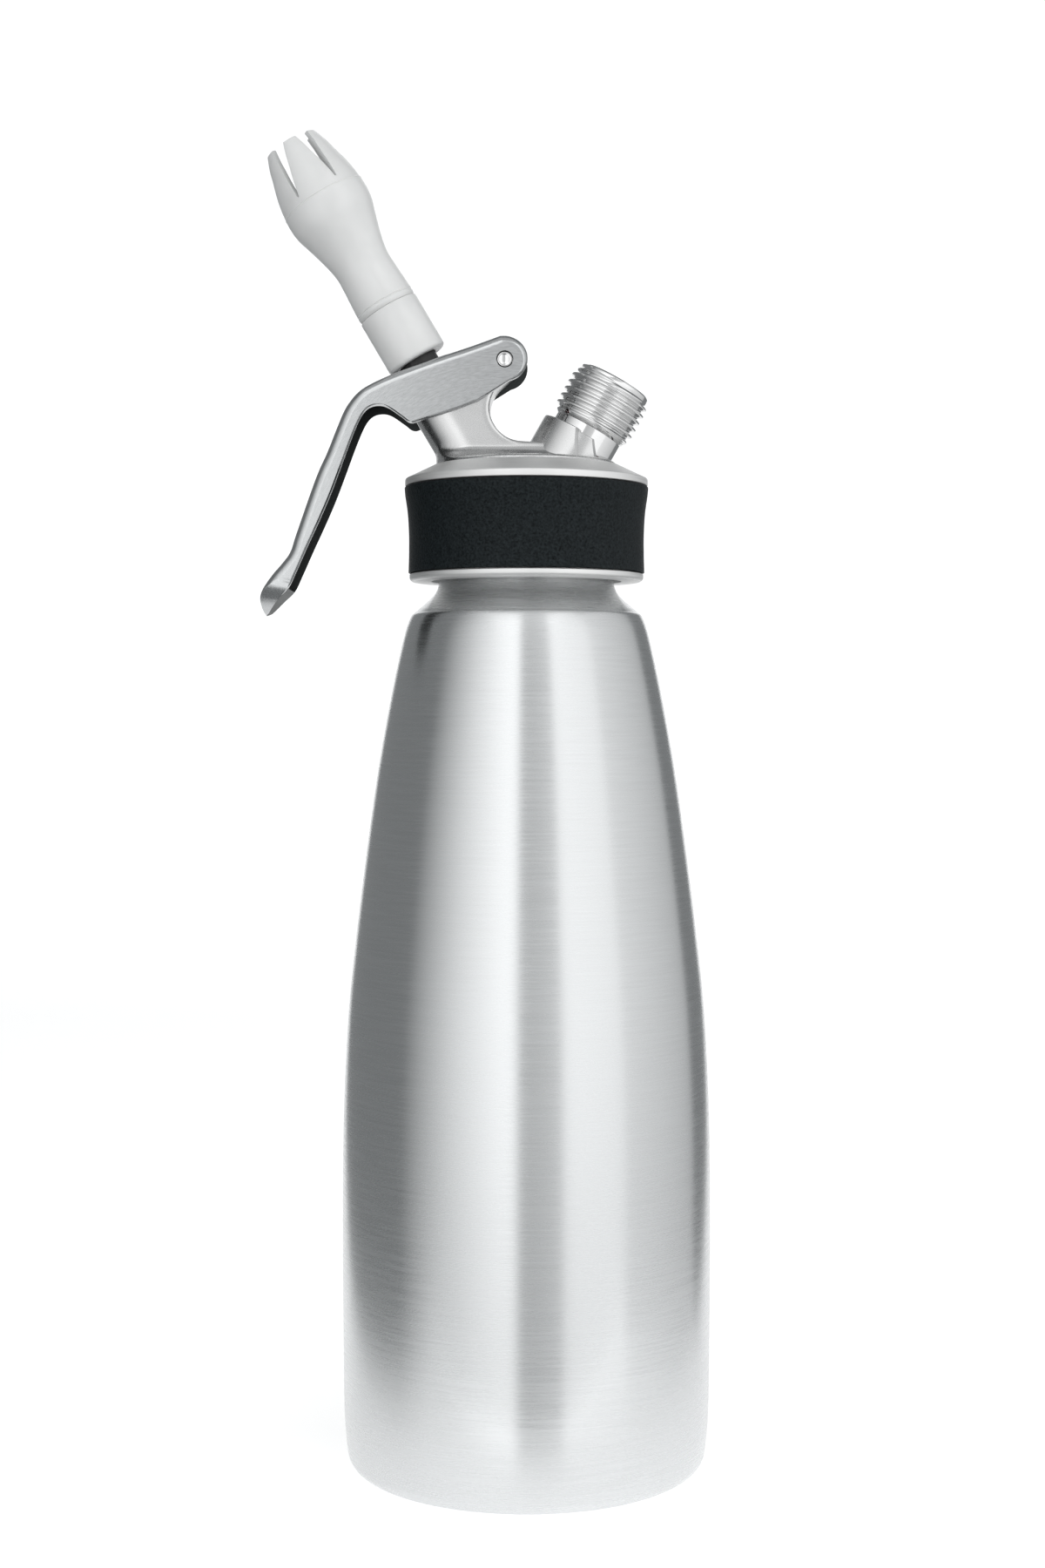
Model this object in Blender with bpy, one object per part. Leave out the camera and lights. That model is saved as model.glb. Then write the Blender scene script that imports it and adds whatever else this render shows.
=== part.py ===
"""Whipped cream dispenser: a spun steel bottle under a screwed head, with a lever valve and a charger stud.

Frame: metres, +Z up, the bottle standing on Z = 0 with its axis on Z. The lever and the nozzle lean to -X,
the charger stud leans to +X, and the lever's pin runs along Y. Most pieces are turned profiles, so they are
written as (radius, height) outlines about the bottle's axis, the nozzle's axis or the stud's axis.
"""
import math

import bmesh
import bpy
from mathutils import Matrix, Vector

MM = 0.001

# Clearances
GAP = 0.3 * MM                 # between pieces that touch or seat on each other
OVERRUN = 3.0 * MM             # how far every cutter runs past what it cuts

# Round pieces: how many sides
LARGE_SIDES = 48
MEDIUM_SIDES = 32
SMALL_SIDES = 20
HEX_SIDES = 6

# Bottle
BODY_R = 47.3 * MM
BASE_FLAT_R = 42.4 * MM
BASE_CORNER_Z = 3.9 * MM
SHOULDER_R = 30.0 * MM
SHOULDER_Z = 217.0 * MM
NECK_R = 22.5 * MM
NECK_START_Z = 227.0 * MM
NECK_TOP_Z = 245.6 * MM
BOTTLE_WALL = 1.2 * MM
SIDE_SHARES = ((0.018, 0.925), (0.06, 0.971), (0.14, 0.988), (0.28, 1.0), (0.41, 0.985), (0.53, 0.913),
               (0.62, 0.803), (0.72, 0.65), (0.82, 0.475), (0.91, 0.275), (0.975, 0.10), (1.0, 0.0))
SHOULDER_SHARES = ((0.14, 0.84), (0.32, 0.56), (0.5, 0.293), (0.66, 0.12), (0.82, 0.03), (1.0, 0.0))
BASE_CORNER_SHARES = ((0.45, 0.07), (0.8, 0.4))

# Threaded collar pressed on the neck
COLLAR_WALL = 1.4 * MM
COLLAR_Z = 230.0 * MM
COLLAR_HEIGHT = 13.0 * MM
COLLAR_CHAMFER = 0.6 * MM

# Cap shell: lower rim, core under the grip, upper flange and conical top
CAP_BOTTOM_Z = 226.3 * MM
RIM_R = 30.15 * MM
RIM_HEIGHT = 2.0 * MM
RIM_CHAMFER = 0.7 * MM
CORE_WALL = 3.2 * MM
FLANGE_R = 31.3 * MM
FLANGE_Z = 250.9 * MM
FLANGE_HEIGHT = 1.8 * MM
CONE_TOP_R = 23.6 * MM
CONE_TOP_Z = 256.4 * MM
SEAT_DEPTH = 2.8 * MM          # the casting's disc sits this deep in the cone's top
SPIGOT_R = 17.9 * MM

# Head gasket
GASKET_HEIGHT = 2.7 * MM

# Grip band
GRIP_TOP_R = 31.45 * MM
GRIP_WAIST_R = 30.3 * MM
GRIP_SHARES = ((0.0, 0.12), (0.05, 0.09), (0.2, 0.02), (0.4, 0.0),
               (0.6, 0.15), (0.75, 0.42), (0.9, 0.85), (1.0, 1.0))

# Casting of the head
DISC_SIDE = 1.8 * MM
DISC_CHAMFER = 0.9 * MM
DISC_CROWN = 1.9 * MM
CROWN_SHARES = ((0.62, 0.8), (0.3, 0.97))
TUBE_R = 8.6 * MM
POST_HALF = 8.3 * MM
POST_ROUNDING = 1.0 * MM
EAR_R = 3.7 * MM
HOOK_R = 8.4 * MM
HOOK_X = -1.0 * MM
HOOK_Z = 270.4 * MM
SADDLE_DROP = 0.8 * MM         # the saddle's top falls this much towards the charger boss
EAR_FROM_DEG = -45
EAR_TO_DEG = 200
HOOK_FROM_DEG = 270
HOOK_TO_DEG = 135

# Nozzle axis: heights along it are counted from its foot
NOZZLE_FOOT_X = -12.0 * MM
NOZZLE_FOOT_Z = 256.5 * MM
NOZZLE_TILT_DEG = -30.5
TUBE_TOP = 19.5 * MM
SPRING_FLOOR = 5.5 * MM
SPRING_BORE_R = 7.0 * MM
GUIDE_BORE_R = 5.2 * MM
VALVE_BOSS_R = 6.6 * MM
VALVE_BOSS_DEPTH = 12.9 * MM

# Valve stem
STEM_R = 3.4 * MM
STEM_BORE_R = 1.9 * MM
STEM_TOP = 41.7 * MM
STEM_TAIL = 4.9 * MM           # below the valve seat's seal face
STEM_FLOOR = 1.8 * MM          # the bore's closed end, above the tail's start
STEM_SHOULDER_R = 4.3 * MM
STEM_SHOULDER_HEIGHT = 2.0 * MM
CROSS_HOLE_R = 1.1 * MM
O_RING_GROOVE_DEPTH = 0.8 * MM
O_RING_HEIGHT = 2.0 * MM
O_RING_TOP = -4.6 * MM
VALVE_SEAL_R = 6.2 * MM
VALVE_SEAL_HEIGHT = 2.1 * MM
VALVE_NUT_R = 6.0 * MM
VALVE_NUT_HEIGHT = 2.7 * MM

# Guide bush, spring, retainer and black sleeve on the stem
BUSH_DEPTH = 9.0 * MM
BUSH_FLANGE_R = 6.6 * MM
BUSH_FLANGE_HEIGHT = 1.5 * MM
SPRING_WIRE_R = 0.55 * MM
SPRING_R = 5.4 * MM
SPRING_TURNS = 5.5
SPRING_STEPS_PER_TURN = 9
RETAINER_R = 7.6 * MM
RETAINER_HEIGHT = 2.2 * MM
RETAINER_TOP = 25.8 * MM
SLEEVE_R = 5.0 * MM
SLEEVE_IN_ADAPTER = 1.7 * MM

# Adapter collar, threaded insert and tulip tip
ADAPTER_R = 8.1 * MM
ADAPTER_BOTTOM = 31.4 * MM
ADAPTER_TOP = 46.6 * MM
ADAPTER_ROUNDING = 1.1 * MM
ADAPTER_EDGE = 0.3 * MM
INSERT_R = 5.9 * MM
INSERT_BORE_R = 4.4 * MM
INSERT_IN_ADAPTER = 4.3 * MM
INSERT_IN_TIP = 4.1 * MM
TIP_R = 11.36 * MM
TIP_LENGTH = 49.1 * MM
TIP_WALL = 1.7 * MM
TIP_SHARES = ((0.0, 0.682), (0.015, 0.704), (0.05, 0.700), (0.13, 0.679), (0.20, 0.661), (0.26, 0.656),
              (0.32, 0.694), (0.40, 0.781), (0.487, 0.892), (0.54, 0.963), (0.60, 0.998), (0.66, 0.992),
              (0.73, 0.956), (0.79, 0.906), (0.87, 0.810), (0.93, 0.745), (1.0, 0.634))
TIP_BORE_SHARE = 0.16          # the tip's own bore starts at this share of its length
PRONGS = 6
SLOT_ROOT_SHARE = 0.70
SLOT_ROOT_HALF = 0.25 * MM
SLOT_TOP_HALF = 1.95 * MM

# Lever, in the pin's own frame: outline points are shares of its reach and of its drop below the pin
PIN_X = -5.5 * MM
PIN_Z = 282.5 * MM
PIN_R = 1.87 * MM
PIN_DIMPLE_R = 1.45 * MM
PIN_DIMPLE_DEPTH = 0.7 * MM
LEVER_HALF = 10.4 * MM
LEVER_WALL = 1.5 * MM
LEVER_EDGE = 0.7 * MM
LEVER_END_R = 5.5 * MM
LEVER_REACH = 62.6 * MM
LEVER_DROP = 65.0 * MM
LEVER_TOP_SHARES = ((0.02, 0.096), (0.14, 0.054), (0.29, 0.006), (0.465, -0.057), (0.556, -0.098),
                    (0.60, -0.128), (0.631, -0.163), (0.655, -0.200), (0.685, -0.268), (0.724, -0.363),
                    (0.77, -0.463), (0.848, -0.677), (0.874, -0.752), (0.907, -0.797), (0.947, -0.842),
                    (0.986, -0.897), (0.997, -0.935), (0.993, -0.972))
LEVER_TIP_SHARES = ((0.984, -0.999),)
LEVER_FREE_SHARES = ((0.968, -0.990), (0.927, -0.942), (0.880, -0.897), (0.848, -0.834), (0.802, -0.734),
                     (0.757, -0.640), (0.711, -0.538), (0.671, -0.437), (0.633, -0.337), (0.599, -0.255),
                     (0.574, -0.211), (0.545, -0.188), (0.506, -0.182), (0.470, -0.193), (0.420, -0.226),
                     (0.382, -0.250), (0.335, -0.238), (0.211, -0.200), (0.109, -0.163))
LEVER_FREE_END_DEG = -75
LEVER_OPEN_DEG = 22            # the web ends here, above the pin
WEB_SLOT_PLAY = 1.2 * MM
WEB_SLOT_EXTRA = 1.0 * MM
TONGUE_LENGTH = 10.4 * MM
CHANNEL_STOP = 6               # points of the web's line, counted from the tip, that the channel leaves solid

# Stud axis: heights along it are counted from the top of the charger boss's axis point
STUD_INSET = 10.5 * MM         # the stud's axis starts this far inside the cone's top edge
STUD_Z = 260.57 * MM
STUD_TILT_DEG = 29.5
STUD_R = 9.2 * MM
STUD_SEAT = -1.4 * MM
STUD_SHANK_R = 5.0 * MM
STUD_SHANK_END = -7.2 * MM
THREAD_R = 10.9 * MM
THREAD_ROOT_R = 9.88 * MM
THREAD_START = 7.1 * MM
THREAD_END = 18.3 * MM
THREAD_CHAMFER = 0.5 * MM
STUD_TOP = 20.2 * MM
SOCKET_R = 7.4 * MM
SOCKET_FLOOR = 11.0 * MM
CHARGER_NECK_R = 4.8 * MM
CHARGER_FLOOR = 3.0 * MM
GAS_BORE_R = 1.2 * MM
VENT_R = 0.75 * MM
VENT_HEIGHT = 6.4 * MM
VENT_AZIMUTH_DEG = 226
STUD_SEAL_HEIGHT = 1.0 * MM
CHARGER_SEAL_HEIGHT = 2.0 * MM
PIERCER_BASE_R = 2.2 * MM
PIERCER_BASE_HEIGHT = 2.7 * MM
PIERCER_R = 1.0 * MM
PIERCER_HEIGHT = 5.2 * MM
PIERCER_POINT = 2.1 * MM
PIERCER_POINT_R = 0.55 * MM
PIERCER_BORE_R = 0.35 * MM
CHECK_DISC_HEIGHT = 1.0 * MM
JET_R = 2.2 * MM
JET_BORE_R = 0.6 * MM
JET_HEIGHT = 4.4 * MM

# Charger boss of the casting: a sleeve in two steps, trimmed upright on its outer side
BOSS_R = 11.6 * MM
BOSS_TOP = 3.8 * MM
BOSS_TRIM_R = 16.8 * MM
BOSS_STEP_R = 10.4 * MM
BOSS_STEP_TOP = 3.4 * MM
BOSS_STEP_TRIM_R = 19.5 * MM
BOSS_ROOT = 8.0 * MM
BOSS_STEP_ROOT = 7.0 * MM

COLOURS = {
    "brushed_steel": ((0.62, 0.63, 0.63), 0.32, 1.0),
    "satin_steel": ((0.70, 0.70, 0.70), 0.25, 1.0),
    "polished_steel": ((0.80, 0.80, 0.80), 0.08, 1.0),
    "spring_steel": ((0.55, 0.55, 0.57), 0.25, 1.0),
    "grip_silicone": ((0.012, 0.014, 0.014), 0.55, 0.0),
    "frosted_plastic": ((0.80, 0.81, 0.80), 0.45, 0.0),
    "black_plastic": ((0.015, 0.015, 0.016), 0.4, 0.0),
    "seal_rubber": ((0.45, 0.03, 0.03), 0.6, 0.0),
}


def clear_scene():
    """Remove whatever the opened scene holds."""
    for thing in list(bpy.data.objects):
        bpy.data.objects.remove(thing, do_unlink=True)


def material(name):
    """Return the named material, made once from its colour, roughness and metallic value."""
    if name in bpy.data.materials:
        return bpy.data.materials[name]
    colour, roughness, metallic = COLOURS[name]
    made = bpy.data.materials.new(name)
    made.use_nodes = True
    shader = made.node_tree.nodes["Principled BSDF"]
    shader.inputs["Base Color"].default_value = (*colour, 1.0)
    shader.inputs["Roughness"].default_value = roughness
    shader.inputs["Metallic"].default_value = metallic
    return made


def arc(centre, radius, start_deg, end_deg, steps):
    """Points along an arc in a plane, both ends included."""
    points = []
    for step in range(steps + 1):
        angle = math.radians(start_deg + (end_deg - start_deg) * step / steps)
        points.append((centre[0] + radius * math.cos(angle), centre[1] + radius * math.sin(angle)))
    return points


def smooth(points, steps):
    """A smooth curve through the points, with some steps between each pair."""
    result = []
    for index in range(len(points) - 1):
        before = Vector(points[max(index - 1, 0)])
        start = Vector(points[index])
        end = Vector(points[index + 1])
        after = Vector(points[min(index + 2, len(points) - 1)])
        for step in range(steps):
            t = step / steps
            place = ((start * 2) + (end - before) * t + (before * 2 - start * 5 + end * 4 - after) * t ** 2
                     + (start * 3 - before - end * 3 + after) * t ** 3) / 2
            result.append((place.x, place.y))
    result.append(tuple(points[-1]))
    return result


def offset(points, distance):
    """The open line of points moved sideways: positive distances move it to the left of its direction."""
    result = []
    for index, point in enumerate(points):
        before = Vector(points[max(index - 1, 0)])
        after = Vector(points[min(index + 1, len(points) - 1)])
        along = (after - before).normalized()
        result.append((point[0] - along.y * distance, point[1] + along.x * distance))
    return result


def new_object(name, mesh_builder, colour):
    """Close a bmesh into a named object with outward faces, smooth shading and its own material."""
    bmesh.ops.recalc_face_normals(mesh_builder, faces=mesh_builder.faces)
    mesh = bpy.data.meshes.new(name)
    mesh_builder.to_mesh(mesh)
    mesh_builder.free()
    made = bpy.data.objects.new(name, mesh)
    bpy.context.collection.objects.link(made)
    if colour:
        mesh.materials.append(material(colour))
        mesh.shade_smooth()
        mesh.set_sharp_from_angle(angle=math.radians(32))
    return made


def lathe(name, outline, sides, colour=None):
    """Turn a closed (radius, height) outline about Z."""
    builder = bmesh.new()
    rings = []
    for radius, height in outline:
        if radius <= 0:
            rings.append([builder.verts.new((0, 0, height))])
            continue
        ring = []
        for side in range(sides):
            angle = math.tau * (side + 0.5) / sides
            ring.append(builder.verts.new((radius * math.cos(angle), radius * math.sin(angle), height)))
        rings.append(ring)
    for index, lower in enumerate(rings):
        upper = rings[(index + 1) % len(rings)]
        for side in range(sides):
            following = (side + 1) % sides
            corners = [lower[side % len(lower)], lower[following % len(lower)],
                       upper[following % len(upper)], upper[side % len(upper)]]
            distinct = list(dict.fromkeys(corners))
            if len(distinct) > 2:
                builder.faces.new(distinct)
    return new_object(name, builder, colour)


def prism(name, outline, low, high, colour=None):
    """Extrude a closed (x, z) outline along Y from low to high."""
    builder = bmesh.new()
    near = [builder.verts.new((x, low, z)) for x, z in outline]
    far = [builder.verts.new((x, high, z)) for x, z in outline]
    builder.faces.new(near)
    builder.faces.new(list(reversed(far)))
    for index in range(len(outline)):
        following = (index + 1) % len(outline)
        builder.faces.new((near[following], near[index], far[index], far[following]))
    return new_object(name, builder, colour)


def rod(name, radius, low, high, sides=SMALL_SIDES):
    """A plain round bar along Z, used to cut or to join."""
    return lathe(name, [(0, low), (radius, low), (radius, high), (0, high)], sides)


def place(thing, x, z, tilt_deg=0):
    """Put a piece's frame at a point of the XZ plane, leaning by the tilt."""
    thing.location = (x, 0, z)
    thing.rotation_euler = (0, math.radians(tilt_deg), 0)
    return thing


def on_nozzle(thing):
    return place(thing, NOZZLE_FOOT_X, NOZZLE_FOOT_Z, NOZZLE_TILT_DEG)


def on_stud(thing):
    return place(thing, STUD_X, STUD_Z, STUD_TILT_DEG)


def combine(target, tool, operation):
    """Join, cut or trim the target with a tool, which is then hidden."""
    tool.hide_render = True
    tool.display_type = "WIRE"
    modifier = target.modifiers.new(operation.title(), "BOOLEAN")
    modifier.operation = operation
    modifier.object = tool
    modifier.solver = "EXACT"


def cut(target, tool):
    combine(target, tool, "DIFFERENCE")


def join(target, tool):
    combine(target, tool, "UNION")


def round_edges(target, width, segments=2):
    modifier = target.modifiers.new("Rounded edges", "BEVEL")
    modifier.width = width
    modifier.segments = segments
    modifier.limit_method = "ANGLE"
    modifier.angle_limit = math.radians(40)


def nozzle_point(height, side=0.0):
    """The (x, z) place at a height on the nozzle's axis, moved sideways to the right of it."""
    tilt = math.radians(NOZZLE_TILT_DEG)
    return (NOZZLE_FOOT_X + height * math.sin(tilt) + side * math.cos(tilt),
            NOZZLE_FOOT_Z + height * math.cos(tilt) - side * math.sin(tilt))


# Sizes that follow from the ones above
COLLAR_R = NECK_R + GAP + COLLAR_WALL
CAP_BORE_R = COLLAR_R + GAP
CORE_R = CAP_BORE_R + CORE_WALL
GASKET_Z = NECK_TOP_Z + GAP
CAP_UNDERSIDE_Z = GASKET_Z + GASKET_HEIGHT + GAP
DISC_R = CONE_TOP_R - GAP
SEAT_Z = CONE_TOP_Z - SEAT_DEPTH
DISC_SIDE_TOP_Z = CONE_TOP_Z + DISC_SIDE
DISC_TOP_Z = DISC_SIDE_TOP_Z + DISC_CHAMFER
CROWN_Z = DISC_TOP_Z + DISC_CROWN
RUNNING_R = STEM_R + GAP       # bore of whatever the stem passes through
SEAL_TOP = -VALVE_BOSS_DEPTH - GAP
NUT_TOP = SEAL_TOP - VALVE_SEAL_HEIGHT - GAP
STEM_BOTTOM = -VALVE_BOSS_DEPTH - STEM_TAIL
CROSS_HOLE_HEIGHT = STEM_BOTTOM + STEM_TAIL + STEM_FLOOR + CROSS_HOLE_R
RETAINER_BOTTOM = RETAINER_TOP - RETAINER_HEIGHT
SHOULDER_TOP = RETAINER_BOTTOM - GAP
BUSH_TOP = SPRING_FLOOR + GAP + BUSH_FLANGE_HEIGHT
SLEEVE_TOP = ADAPTER_BOTTOM + SLEEVE_IN_ADAPTER
INSERT_BOTTOM = ADAPTER_TOP - INSERT_IN_ADAPTER
ADAPTER_FLOOR = INSERT_BOTTOM - GAP
TIP_BOTTOM = ADAPTER_TOP + GAP
INSERT_TOP = TIP_BOTTOM + INSERT_IN_TIP
INSERT_SOCKET_R = INSERT_R + GAP
LEVER_INNER = LEVER_HALF - LEVER_WALL
STUD_X = CONE_TOP_R - STUD_INSET
SADDLE_Z = HOOK_Z - HOOK_R
STUD_BOTTOM = STUD_SEAT + STUD_SEAL_HEIGHT + 2 * GAP
CHECK_FLOOR = STUD_SHANK_END - CHECK_DISC_HEIGHT - 2 * GAP


def bottle_outline():
    """Outer line of the bottle from the middle of its base to its lip, as (radius, height)."""
    side = [(SHOULDER_R + (BODY_R - SHOULDER_R) * wide, SHOULDER_Z * high) for high, wide in SIDE_SHARES]
    shoulder = [(NECK_R + (SHOULDER_R - NECK_R) * wide, SHOULDER_Z + (NECK_START_Z - SHOULDER_Z) * high)
                for high, wide in SHOULDER_SHARES]
    corner_r = side[0][0]
    corner = [(BASE_FLAT_R + (corner_r - BASE_FLAT_R) * wide, BASE_CORNER_Z * high)
              for wide, high in BASE_CORNER_SHARES]
    return [(0, 0), (BASE_FLAT_R, 0)] + corner + side + shoulder + [(NECK_R, NECK_TOP_Z)]


def make_bottle():
    outer = bottle_outline()
    inner = offset(outer, BOTTLE_WALL)
    inner[0] = (0, BOTTLE_WALL)
    inner[-1] = (inner[-1][0], NECK_TOP_Z)
    lathe("bottle_shell", outer + list(reversed(inner)), LARGE_SIDES, "brushed_steel")
    bore = NECK_R + GAP
    top = COLLAR_Z + COLLAR_HEIGHT
    lathe("neck_collar", [
        (bore, COLLAR_Z), (COLLAR_R - COLLAR_CHAMFER, COLLAR_Z), (COLLAR_R, COLLAR_Z + COLLAR_CHAMFER),
        (COLLAR_R, top - COLLAR_CHAMFER), (COLLAR_R - COLLAR_CHAMFER, top), (bore, top)],
        MEDIUM_SIDES, "satin_steel")


def make_cap():
    """The cap's turned shell, its rubber grip and the gasket that seals it on the bottle's lip."""
    rim_top = CAP_BOTTOM_Z + RIM_HEIGHT
    hole = SPIGOT_R + GAP
    lathe("cap_shell", [
        (CAP_BORE_R, CAP_BOTTOM_Z), (RIM_R - RIM_CHAMFER, CAP_BOTTOM_Z),
        (RIM_R, CAP_BOTTOM_Z + RIM_CHAMFER), (RIM_R, rim_top), (CORE_R, rim_top), (CORE_R, FLANGE_Z),
        (FLANGE_R, FLANGE_Z), (FLANGE_R, FLANGE_Z + FLANGE_HEIGHT), (CONE_TOP_R, CONE_TOP_Z),
        (CONE_TOP_R, SEAT_Z), (hole, SEAT_Z), (hole, CAP_UNDERSIDE_Z), (CAP_BORE_R, CAP_UNDERSIDE_Z)],
        LARGE_SIDES, "satin_steel")
    low = rim_top + GAP
    high = FLANGE_Z - GAP
    face = [(GRIP_WAIST_R + (GRIP_TOP_R - GRIP_WAIST_R) * wide, low + (high - low) * tall)
            for tall, wide in GRIP_SHARES]
    lathe("grip_band", [(CORE_R + GAP, low)] + face + [(CORE_R + GAP, high)], LARGE_SIDES, "grip_silicone")
    top = GASKET_Z + GASKET_HEIGHT
    lathe("head_gasket", [(hole, GASKET_Z), (COLLAR_R, GASKET_Z), (COLLAR_R, top), (hole, top)],
          MEDIUM_SIDES, "seal_rubber")


def post_outline():
    """The pivot post from the side: ear round the pin, back against the tube, saddle and hook cut-out."""
    ear = arc((PIN_X, PIN_Z), EAR_R, EAR_FROM_DEG, EAR_TO_DEG, 14)
    hook = arc((HOOK_X, HOOK_Z), HOOK_R, HOOK_FROM_DEG, HOOK_TO_DEG, 12)
    under = SEAT_Z + GAP + DISC_CHAMFER
    behind = [nozzle_point(TUBE_TOP - POST_ROUNDING, (TUBE_R + SPRING_BORE_R) / 2),
              nozzle_point(TUBE_TOP / 2), (NOZZLE_FOOT_X, under)]
    saddle = [(STUD_X, under), (STUD_X, SADDLE_Z - SADDLE_DROP)]
    return ear + behind + saddle + hook


def make_casting():
    """The head's casting: base disc and spigot, leaning tube, pivot post and charger boss."""
    flange_z = SEAT_Z + GAP
    crown = [((DISC_R - DISC_CHAMFER) * wide, DISC_TOP_Z + DISC_CROWN * high)
             for wide, high in CROWN_SHARES]
    casting = lathe("head_casting", [
        (0, CAP_UNDERSIDE_Z), (SPIGOT_R, CAP_UNDERSIDE_Z), (SPIGOT_R, flange_z), (DISC_R, flange_z),
        (DISC_R, DISC_SIDE_TOP_Z), (DISC_R - DISC_CHAMFER, DISC_TOP_Z)] + crown + [(0, CROWN_Z)],
        LARGE_SIDES, "satin_steel")
    tube = on_nozzle(rod("tube_solid", TUBE_R, -GUIDE_BORE_R, TUBE_TOP, MEDIUM_SIDES))
    combine(tube, rod("tube_trim", BODY_R, SEAT_Z + DISC_CHAMFER, PIN_Z, LARGE_SIDES), "INTERSECT")
    post = prism("post_solid", post_outline(), -POST_HALF, POST_HALF)
    round_edges(post, POST_ROUNDING)
    valve_boss = on_nozzle(rod("valve_boss_solid", VALVE_BOSS_R, -VALVE_BOSS_DEPTH, GUIDE_BORE_R))
    for tool in (tube, post, valve_boss):
        join(casting, tool)
    steps = (("boss", BOSS_R, BOSS_ROOT, BOSS_TOP, BOSS_TRIM_R),
             ("boss_step", BOSS_STEP_R, BOSS_STEP_ROOT, BOSS_STEP_TOP, BOSS_STEP_TRIM_R))
    for label, radius, root, top, trim in steps:
        sleeve = on_stud(rod(label + "_solid", radius, -root, top, MEDIUM_SIDES))
        upright = rod(label + "_trim", trim, SEAT_Z + DISC_CHAMFER, STUD_Z + OVERRUN + BOSS_R, LARGE_SIDES)
        combine(sleeve, upright, "INTERSECT")
        join(casting, sleeve)
    low, high = -VALVE_BOSS_DEPTH - OVERRUN, TUBE_TOP + OVERRUN
    cut(casting, on_nozzle(lathe("nozzle_bore", [
        (0, low), (GUIDE_BORE_R, low), (GUIDE_BORE_R, SPRING_FLOOR), (SPRING_BORE_R, SPRING_FLOOR),
        (SPRING_BORE_R, high), (0, high)], MEDIUM_SIDES)))
    high = BOSS_TOP + OVERRUN
    cut(casting, on_stud(lathe("stud_bore", [
        (0, CHECK_FLOOR), (STUD_SHANK_R + GAP, CHECK_FLOOR), (STUD_SHANK_R + GAP, STUD_SEAT),
        (STUD_R + GAP, STUD_SEAT), (STUD_R + GAP, high), (0, high)], MEDIUM_SIDES)))
    low = CHECK_FLOOR - JET_HEIGHT - OVERRUN
    cut(casting, on_stud(rod("jet_bore", JET_R + GAP, low, CHECK_FLOOR + GAP)))
    pin_hole = rod("post_pin_hole", PIN_R + GAP, -POST_HALF - OVERRUN, POST_HALF + OVERRUN)
    pin_hole.location = (PIN_X, 0, PIN_Z)
    pin_hole.rotation_euler = (math.radians(90), 0, 0)
    cut(casting, pin_hole)


def make_stud():
    """The charger stud with its seals, piercing pin, check disc and gas jet."""
    stud = on_stud(lathe("charger_stud", [
        (GAS_BORE_R, STUD_SHANK_END), (STUD_SHANK_R, STUD_SHANK_END), (STUD_SHANK_R, STUD_BOTTOM),
        (STUD_R, STUD_BOTTOM), (STUD_R, THREAD_START), (THREAD_R, THREAD_START + THREAD_CHAMFER),
        (THREAD_R, THREAD_END - THREAD_CHAMFER), (THREAD_ROOT_R, THREAD_END),
        (THREAD_ROOT_R, STUD_TOP - THREAD_CHAMFER), (THREAD_ROOT_R - THREAD_CHAMFER, STUD_TOP),
        (SOCKET_R, STUD_TOP), (SOCKET_R, SOCKET_FLOOR), (CHARGER_NECK_R, SOCKET_FLOOR),
        (CHARGER_NECK_R, CHARGER_FLOOR), (GAS_BORE_R, CHARGER_FLOOR)],
        MEDIUM_SIDES, "polished_steel"))
    vent = rod("vent_hole", VENT_R, CHARGER_NECK_R / 2, STUD_R + OVERRUN, HEX_SIDES * 2)
    lean = Matrix.Rotation(math.radians(STUD_TILT_DEG), 4, "Y")
    lift = Matrix.Translation((0, 0, VENT_HEIGHT))
    azimuth = Matrix.Rotation(math.radians(VENT_AZIMUTH_DEG), 4, "Z")
    lying = Matrix.Rotation(math.radians(90), 4, "Y")
    vent.matrix_world = Matrix.Translation((STUD_X, 0, STUD_Z)) @ lean @ lift @ azimuth @ lying
    cut(stud, vent)
    low = STUD_SEAT + GAP
    on_stud(ring("stud_seal", STUD_SHANK_R + GAP, STUD_R, low, low + STUD_SEAL_HEIGHT, "seal_rubber"))
    low = CHARGER_FLOOR + GAP
    top = low + CHARGER_SEAL_HEIGHT
    on_stud(ring("charger_seal", PIERCER_BASE_R + GAP, CHARGER_NECK_R - GAP, low, top, "seal_rubber"))
    step = low + PIERCER_BASE_HEIGHT
    top = low + PIERCER_HEIGHT + PIERCER_POINT
    on_stud(lathe("piercing_pin", [
        (PIERCER_BORE_R, low), (PIERCER_BASE_R, low), (PIERCER_BASE_R, step), (PIERCER_R, step),
        (PIERCER_R, low + PIERCER_HEIGHT), (PIERCER_POINT_R, top), (PIERCER_BORE_R, top)],
        SMALL_SIDES, "polished_steel"))
    low = CHECK_FLOOR + GAP
    disc = [(0, low), (STUD_SHANK_R, low), (STUD_SHANK_R, low + CHECK_DISC_HEIGHT), (0, low + CHECK_DISC_HEIGHT)]
    on_stud(lathe("check_disc", disc, SMALL_SIDES, "seal_rubber"))
    top = CHECK_FLOOR - GAP
    on_stud(ring("gas_jet", JET_BORE_R, JET_R, top - JET_HEIGHT, top, "satin_steel"))


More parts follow.
